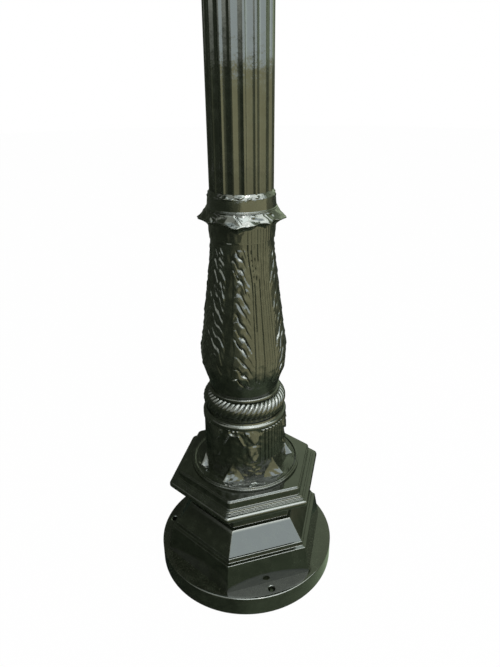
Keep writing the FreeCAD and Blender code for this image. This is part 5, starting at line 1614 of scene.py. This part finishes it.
@dataclass
class Lantern:
    """One lantern's castings and trim: a lobed cup, the frame's mouldings and rods, and the roof's hips."""

    side: Side
    cup_height: float = 55.0
    cup_stem: float = 23.0
    cup_rim: float = 62.0
    socket: float = 17.5
    cup_lobes: int = 20
    frame_height: float = 265.0
    foot_flat: float = 70.0
    head_flat: float = 111.0
    roof_gap: float = 0.3
    eave_flat: float = 123.0
    swell_flat: float = 103.0
    top_flat: float = 40.0
    roof_height: float = 88.0
    hip_radius: float = 3.0
    vent_height: float = 42.0
    ball: float = 13.8
    seat: tuple[float, float, float] = field(init=False, default=(0.0, 0.0, 0.0))

    @property
    def roof_body(self) -> str:
        """The body that the roof rides on."""
        return self.named("roof_body")

    def named(self, part: str) -> str:
        """A part's name with this lantern's side before it."""
        return f"{self.side.value}_{part}"

    def build(self, finishes: Finishes) -> None:
        """Builds the lantern's pieces about its cup's seat.

        Args:
            finishes: the post's materials.
        """
        low, high = box_of(self.named("cup"))
        self.seat = (float(low[0] + high[0]) / 2, 0.0, float(low[2]))
        self.build_cup(finishes)
        self.build_trim(finishes)
        self.build_hips(finishes)
        self.build_finial(finishes)

    def build_cup(self, finishes: Finishes) -> None:
        """Builds the cup: a ringed stem under a bowl whose lobes are roots of a sine.

        Args:
            finishes: the post's materials.
        """
        stem, rim, top, bore, web = self.cup_stem, self.cup_rim, self.cup_height, 13.0, 32.3
        outer = corners_rounded([
            (self.socket, 0), (stem, 0, 1), (stem, 15, 2), (stem + 2.6, 19.5, 2), (stem, 24, 2),
            (stem + 1, 28, 6), (rim - 16, 36, 14), (rim - 4, top - 8, 2), (rim - 4, top - 6, 0.8),
            (rim + 0.8, top - 5, 0.8), (rim + 0.8, top - 1, 1), (rim - 1, top), (bore, top)], 1.0)
        inner = np.array([[bore, web], [self.socket, web]])

        def lobes(turn: Array, level: Array) -> Array:
            """The bowl's lobes, the same at every level."""
            return 2.2 * (lobed(np.radians(self.cup_lobes / 2 * turn)) - 1)

        bowl = step(outer[:, 1], 28, 33) * (1 - step(outer[:, 1], top - 9, top - 7))
        grid = turned_grid(np.concatenate([outer, inner]), 200, lobes, np.concatenate([bowl, np.zeros(2)]))
        piece = Surface().add_loop(grid).moved(*self.seat).build(self.named("cup_bowl"), 60.0)
        dress(piece, finishes.casting, nodes=[self.named("cup")])

    def flat_at(self, level: float) -> float:
        """The frame's distance across half its flats at a level above the seat."""
        share = (level - self.cup_height) / self.frame_height
        return self.foot_flat + (self.head_flat - self.foot_flat) * share

    def build_trim(self, finishes: Finishes) -> None:
        """Builds the frame's trim: a moulding at foot and head, and a rod with ball ends on each corner.

        Args:
            finishes: the post's materials.
        """
        foot, head = self.cup_height, self.cup_height + self.frame_height
        trim = Surface()
        mouldings = (
            [(-2.0, foot + 1), (3.0, foot + 1, 1.2), (3.4, foot + 5, 1.6), (1.4, foot + 7, 0.6),
             (1.2, foot + 11, 0.8), (-2.0, foot + 13)],
            [(-2.0, head - 15), (1.2, head - 15, 0.6), (1.4, head - 11, 1), (3.4, head - 9, 1.4),
             (4.2, head - 5, 1), (7.0, head - 4, 1), (7.0, head - 0.6, 0.6), (-2.0, head - 0.6)],
        )
        for moulding in mouldings:
            line = corners_rounded(moulding, 1.5)
            flats = line[:, 0] + np.array([self.flat_at(level) for level in line[:, 1]])
            trim.add_loop(hexagon_rings(flats, np.full(len(line), 2.0), line[:, 1], turn=30.0, side_points=6))
        low, high = foot + 12, head - 14
        ends = [[self.flat_at(low) / COS_30, low], [self.flat_at(high) / COS_30, high]]
        for index in range(6):
            trim.add_capped(rod(spaced(np.array(ends), 1.5), self.hip_radius, 60.0 * index))
        piece = trim.moved(*self.seat).build(self.named("frame_trim"), 40.0)
        dress(piece, finishes.lantern)

    def build_hips(self, finishes: Finishes) -> None:
        """Builds the roof's trim: a roll along each hip with a small knob at its end, and an eaves bead.

        Args:
            finishes: the post's materials.
        """
        low = self.cup_height + self.frame_height + self.roof_gap
        eave, swell = self.eave_flat, (self.swell_flat, low + 22)
        top = (self.top_flat + 1, low + self.roof_height - 5)
        trim = Surface()
        line = np.concatenate([bowed((eave - 1, low + 6), swell, -1.6, 8)[:-1], bowed(swell, top, 8.2, 30)])
        line = spaced(line * np.array([1 / COS_30, 1.0]), 1.5)
        turning = [(0.6, 0), (3.4, 0.6, 2), (2.2, 4, 1), (4.4, 8, 3.4), (3.0, 12, 2), (0.5, 17)]
        shape = corners_rounded(turning, 0.8)
        reach = (eave - 4) / COS_30
        for index in range(6):
            trim.add_capped(rod(line, self.hip_radius, 60.0 * index))
            facing = math.radians(60.0 * index)
            knob = Surface().add_capped(turned_grid(shape, 24))
            trim.add_all(knob.moved(reach * math.cos(facing), reach * math.sin(facing), low + 6))
        bead = corners_rounded([
            (eave - 5, low + 5.5), (eave - 0.4, low + 5.5, 0.8), (eave - 0.8, low + 8.5, 1),
            (eave - 5, low + 9.5)], 1.5)
        corner = np.full(len(bead), 1.5)
        trim.add_loop(hexagon_rings(bead[:, 0], corner, bead[:, 1], turn=30.0, side_points=6))
        piece = trim.moved(*self.seat).build(self.named("roof_hips"), 40.0)
        dress(piece, finishes.lantern, self.roof_body)

    def build_finial(self, finishes: Finishes) -> None:
        """Builds the finial: a small foot, a ball with slanting lobes and a drawn-out tip.

        Args:
            finishes: the post's materials.
        """
        low = self.cup_height + self.frame_height + self.roof_gap + self.roof_height + self.vent_height
        ball, middle = self.ball, low + 23.0
        swing = np.radians(np.linspace(-55, 62, 30))
        globe = np.column_stack([ball * np.cos(swing), middle + ball * np.sin(swing)])
        foot = corners_rounded([
            (0.5, low), (11, low, 0.6), (11, low + 3, 1.2), (7, low + 6, 3), (7, low + 10)], 0.8)
        tip = bowed((float(globe[-1, 0]), float(globe[-1, 1])), (1.6, low + 57.5), 3.0, 24)[1:]
        profile = np.concatenate([foot, globe, tip])

        def lobes(turn: Array, level: Array) -> Array:
            """The ball's lobes, which turn by 6 / 5 of a degree at each millimetre up."""
            return 1.3 * (lobed(np.radians(5 * turn + 6 * (level - middle))) - 1)

        near = step(ball - np.abs(profile[:, 1] - middle), 2, 5) * np.where(profile[:, 0] > 7.5, 1.0, 0.0)
        grid = turned_grid(profile, 160, lobes, near)
        piece = Surface().add_capped(grid).moved(*self.seat).build(self.named("finial_flame"), 60.0)
        dress(piece, finishes.lantern, self.roof_body, nodes=[self.named("finial")])


@dataclass(frozen=True)
class SoftBox:
    """A square lamp with even light, aimed at a point on the post."""

    name: str
    azimuth: float
    elevation: float
    distance: float
    width: float
    height: float
    strength: float
    colour: Colour = (1.0, 1.0, 1.0)
    aim: tuple[float, float, float] = (0.0, 0.0, 0.6)

    def build(self) -> None:
        """Hangs the lamp at its azimuth and elevation, in metres; a strength of 1 looks white in a mirror."""
        lamp = bpy.data.lights.new(self.name, "AREA")
        lamp.shape = "RECTANGLE"
        lamp.size, lamp.size_y = self.width, self.height
        lamp.energy = self.strength * math.pi * self.width * self.height
        lamp.color = self.colour
        turn, lift = math.radians(self.azimuth), math.radians(self.elevation)
        away = Vector((math.cos(lift) * math.cos(turn), math.cos(lift) * math.sin(turn), math.sin(lift)))
        holder = bpy.data.objects.new(self.name, lamp)
        holder.location = Vector(self.aim) + away * self.distance
        holder.rotation_mode = "QUATERNION"
        holder.rotation_quaternion = away.to_track_quat("Z", "Y")
        holder.visible_camera = False
        bpy.context.scene.collection.objects.link(holder)


@dataclass(frozen=True)
class PaintedReflectionPatch:
    """A glowing patch painted into the reflections of the gloss paint: a sector of azimuth with soft ends."""

    start: float
    end: float
    soft: float
    colour: Colour
    above: float = -90.0


@dataclass
class PaintedReflections:
    """The open air that the paint mirrors: sunlit ground, a bright patch of sky and dark trees.

    They glow though they are no lamps, and are seen in reflections alone. They cast no light or shadow, and
    the camera sees through them.
    """

    radius: float = 5000.0
    dark: Colour = (0.1, 0.115, 0.085)
    horizon: float = 11.0
    # painted highlights: glowing sky patches that put glints and bright reflections on the paint
    sky: tuple[PaintedReflectionPatch, ...] = (
        PaintedReflectionPatch(-92.0, 10.0, 16.0, (4.9, 5.6, 5.7)),
        PaintedReflectionPatch(-92.0, 8.0, 20.0, (7.5, 7.8, 6.8), 30.0),
        PaintedReflectionPatch(-146.0, -92.0, 24.0, (3.4, 3.6, 3.2), 14.0),
        PaintedReflectionPatch(-8.0, 101.0, 10.0, (1.0, 1.2, 0.8)),
        PaintedReflectionPatch(-200.0, 200.0, 10.0, (3.4, 4.0, 4.0), 68.0),
    )
    # painted reflection of sunlit ground, brown on the paint's front and right
    ground: tuple[PaintedReflectionPatch, ...] = (
        PaintedReflectionPatch(-80.0, 12.0, 14.0, (2.2, 2.1, 1.2)),
        PaintedReflectionPatch(-108.0, 42.0, 26.0, (0.55, 0.56, 0.33)),
    )
    # painted shade and sunlight on the mirrored ground: shaded within the shade radius, sunlit past the sun
    # radius
    shade_radius: float = 0.45
    sun_radius: float = 0.95
    shade: Colour = (0.13, 0.175, 0.19)

    def elevation(self, sheet: NodeSheet, angle: float, soft: float = 3.0) -> Wire:
        """How far a point of the dome is above an elevation: 0 below it and 1 above, over a soft edge.

        Args:
            sheet: the sheet of nodes.
            angle: the elevation in degrees.
            soft: half the width of its edge, in degrees.

        Returns:
            The share.
        """
        height = sheet.part(sheet.place(), 2)
        low, high = (self.radius * MM * math.sin(math.radians(angle + edge)) for edge in (-soft, soft))
        return height.span(low, high)

    def paint(self, sheet: NodeSheet, glimpses: Sequence[PaintedReflectionPatch]) -> Wire:
        """Adds the glimpses to the dark: each counts between its azimuths, read about the post's axis.

        Args:
            sheet: the sheet of nodes.
            glimpses: the patches of light.

        Returns:
            The colour of a point of the surroundings.
        """
        across, ahead = (sheet.part(sheet.place(), axis) for axis in (0, 1))
        azimuth = ahead.maths("ARCTAN2", ahead, across)
        colour: Wire | Colour = self.dark
        for glimpse in glimpses:
            low, high, soft = (math.radians(angle) for angle in (glimpse.start, glimpse.end, glimpse.soft))
            share = azimuth.span(low - soft / 2, low + soft / 2)
            share = share - azimuth.span(high - soft / 2, high + soft / 2)
            if glimpse.above > 0:
                share = share * self.elevation(sheet, glimpse.above, 6.0)
            bright = sheet.mix(share, (0.0, 0.0, 0.0), glimpse.colour)
            colour = sheet.mix(1.0, colour, bright, "ADD")
        return colour

    def hang(self, name: str, points: Array, faces: list[list[int]], colour: Wire) -> None:
        """Makes one glowing part of the painted reflections, seen by mirror rays alone.

        Args:
            name: the part's name.
            points: its corners.
            faces: the corners' numbers for each face.
            colour: its light, on the sheet that becomes its material.
        """
        sheet = colour.sheet
        # painted reflection: this glow stands in for light mirrored by the paint, and is no lamp
        glow = sheet.add("ShaderNodeEmission", None, {0: colour, 1: 1.0})
        sheet.add("ShaderNodeOutputMaterial", None, {0: glow})
        mesh = bpy.data.meshes.new(name)
        mesh.from_pydata((points * MM).tolist(), [], faces)
        mesh.materials.append(sheet.material)
        part = bpy.data.objects.new(name, mesh)
        bpy.context.scene.collection.objects.link(part)
        part.visible_camera = part.visible_diffuse = part.visible_shadow = part.visible_transmission = False

    def build(self) -> None:
        """Builds the glowing dome of painted sky and trees, and the glowing ground disc, with painted shade
        that darkens it close to the post.
        """
        sheet = NodeSheet("painted_sky_reflection")
        rings, columns = 24, 64
        lift = np.radians(np.linspace(-3.0, 88.0, rings))[:, None]
        turn = np.radians(np.linspace(0.0, 360.0, columns, endpoint=False))[None, :]
        level = np.cos(lift)
        dome = np.stack(np.broadcast_arrays(level * np.cos(turn), level * np.sin(turn), np.sin(lift)), -1)
        faces = grid_faces(rings, columns, False)[:, ::-1].tolist()
        above = self.elevation(sheet, self.horizon, 1.0)
        colour = sheet.mix(above, self.paint(sheet, self.ground), self.paint(sheet, self.sky))
        self.hang("painted_sky_reflection", dome.reshape(-1, 3) * self.radius, faces, colour)
        sheet = NodeSheet("painted_ground_reflection")
        angle = turn[0]
        disc = np.column_stack([np.cos(angle), np.sin(angle), np.zeros(columns)]) * self.radius * 0.99
        disc[:, 2] = 1.0
        away = sheet.add("ShaderNodeVectorMath", {"operation": "LENGTH"}, {0: sheet.place()}, "Value")
        # painted shade: the ground disc is tinted by the shade colour near the post and brightens to full
        # painted sunlight further out
        lit = away.span(self.shade_radius, self.sun_radius)
        patchy = sheet.noise(7.0, 5.0).span(0.3, 0.7) * 0.4 + 0.6
        tint = sheet.mix(patchy, (0.0, 0.0, 0.0), sheet.mix(lit, self.shade, (1.0, 1.0, 1.0)))
        colour = sheet.mix(1.0, self.paint(sheet, self.ground), tint, "MULTIPLY")
        self.hang("painted_ground_reflection", disc, [list(range(columns))], colour)


@dataclass
class Studio:
    """The white floor and background, the soft lamps and the camera."""

    floor_radius: float = 9000.0
    floor_glow: float = 0.985
    eye: tuple[float, float, float] = (0.2250, -0.9452, 0.9925)
    heading: float = -12.68
    pitch: float = 25.56
    roll: float = -0.59
    lens: float = 31.03
    boxes: tuple[SoftBox, ...] = (
        SoftBox("key", -40.0, 42.0, 3.4, 1.2, 1.2, 6.0),
        SoftBox("sun", -58.0, 50.0, 3.6, 0.4, 0.4, 70.0, (1.0, 0.97, 0.9)),
        SoftBox("fill", -165.0, 30.0, 3.4, 1.0, 1.0, 1.0),
    )

    def seen_white(self, shade: NodeSheet, plain: Wire, share: float) -> Wire:
        """Blends a shader with white light for the rays that see the background: camera, mirror and glass.

        Args:
            shade: the sheet of nodes.
            plain: the shader that light falls on.
            share: how much of the white those rays see.

        Returns:
            The blended shader.
        """
        path = [shade.add("ShaderNodeLightPath", None, None, name)
                for name in ("Is Camera Ray", "Is Glossy Ray", "Is Transmission Ray")]
        seen = path[0].maths("MAXIMUM", path[0], path[1].maths("MAXIMUM", path[1], path[2]))
        glow = shade.add("ShaderNodeEmission", None, {0: (1.0, 1.0, 1.0, 1.0), 1: 1.0})
        return shade.add("ShaderNodeMixShader", None, {0: seen * share, 1: plain, 2: glow})

    def build_floor(self) -> None:
        """Lays the round floor."""
        sheet = NodeSheet("white_floor")
        plain = sheet.add("ShaderNodeBsdfDiffuse", None, {0: (0.88, 0.88, 0.88, 1.0)})
        sheet.add("ShaderNodeOutputMaterial", None, {0: self.seen_white(sheet, plain, self.floor_glow)})
        angle = np.radians(np.linspace(0, 360, 96, endpoint=False))
        points = np.column_stack([np.cos(angle), np.sin(angle), np.zeros(96)]) * self.floor_radius * MM
        mesh = bpy.data.meshes.new("floor")
        mesh.from_pydata(points.tolist(), [], [list(range(96))])
        floor = bpy.data.objects.new("floor", mesh)
        floor.data.materials.append(sheet.material)
        bpy.context.scene.collection.objects.link(floor)

    def build_world(self) -> None:
        """Gives an even grey sky that is white where it is seen."""
        world = bpy.data.worlds.new("soft_sky")
        world.use_nodes = True
        bpy.context.scene.world = world
        nodes, links = world.node_tree.nodes, world.node_tree.links
        back = nodes["Background"]
        back.inputs["Color"].default_value = (1.0, 1.0, 1.0, 1.0)
        path, widest = nodes.new("ShaderNodeLightPath"), nodes.new("ShaderNodeMath")
        widest.operation = "MAXIMUM"
        seen = nodes.new("ShaderNodeMath")
        seen.operation = "MAXIMUM"
        links.new(path.outputs["Is Camera Ray"], widest.inputs[0])
        links.new(path.outputs["Is Glossy Ray"], widest.inputs[1])
        links.new(widest.outputs[0], seen.inputs[0])
        links.new(path.outputs["Is Transmission Ray"], seen.inputs[1])
        level = nodes.new("ShaderNodeMapRange")
        level.inputs[3].default_value = 0.5
        links.new(seen.outputs[0], level.inputs[0])
        links.new(level.outputs[0], back.inputs["Strength"])

    def build_camera(self) -> None:
        """Stands the camera where the photograph was taken, turned, tipped and rolled as it was."""
        turn, tip, roll = (math.radians(angle) for angle in (self.heading, self.pitch, self.roll))
        ahead = Vector((math.sin(turn) * math.cos(tip), math.cos(turn) * math.cos(tip), -math.sin(tip)))
        level = Vector((math.cos(turn), -math.sin(turn), 0.0))
        upright = level.cross(ahead)
        right = math.cos(roll) * level + math.sin(roll) * upright
        upward = -math.sin(roll) * level + math.cos(roll) * upright
        data = bpy.data.cameras.new("photograph")
        data.lens, data.sensor_width = self.lens, 36.0
        camera = bpy.data.objects.new("photograph", data)
        facing = Matrix((right, upward, -ahead)).transposed().to_4x4()
        camera.matrix_world = Matrix.Translation(Vector(self.eye)) @ facing
        bpy.context.scene.collection.objects.link(camera)
        bpy.context.scene.camera = camera

    def build(self) -> None:
        """Sets up the floor, the sky, the glowing dome and disc of painted reflections, the lamps and the
        camera.
        """
        self.build_floor()
        self.build_world()
        # painted reflections: a glowing dome and ground disc seen by mirror rays alone
        PaintedReflections().build()
        for softbox in self.boxes:
            softbox.build()
        self.build_camera()
        bpy.context.scene.view_settings.view_transform = "Standard"


def keep_others(finishes: Finishes) -> None:
    """Paints every CAD node that no new piece stands for.

    Args:
        finishes: the post's materials.
    """
    for row in frame["record"]["subparts"]:
        node, slot = row["node"], row["material_slot"]
        if frame["nodes"][node].hide_render:
            continue
        finish = {
            Slot.CASTING: finishes.casting, Slot.TUBE: finishes.tube, Slot.LANTERN: finishes.lantern,
            Slot.CORE: finishes.core, Slot.FIXING: finishes.fixing, Slot.PANE: finishes.pane,
            Slot.BULB: finishes.bulb, Slot.CAP: finishes.cap, Slot.HOLDER: finishes.holder,
        }[Slot(slot)]
        repaint(node, finish)


def main() -> None:
    """Builds the post's looks in order."""
    logging.basicConfig(level=logging.INFO, format="%(name)s %(message)s")
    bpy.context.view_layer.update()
    Studio().build()
    finishes = Finishes()
    castings = (Pedestal(), CollarDisc(), LeafDrum(), RopeRing(), LeafVase(), LeafCrown(), FlutedColumn(),
                Capital(), ArmHub(), CentreStem())
    for part in (*castings, *(Lantern(side) for side in Side)):
        part.build(finishes)
    keep_others(finishes)


if __name__ == "__main__":
    main()
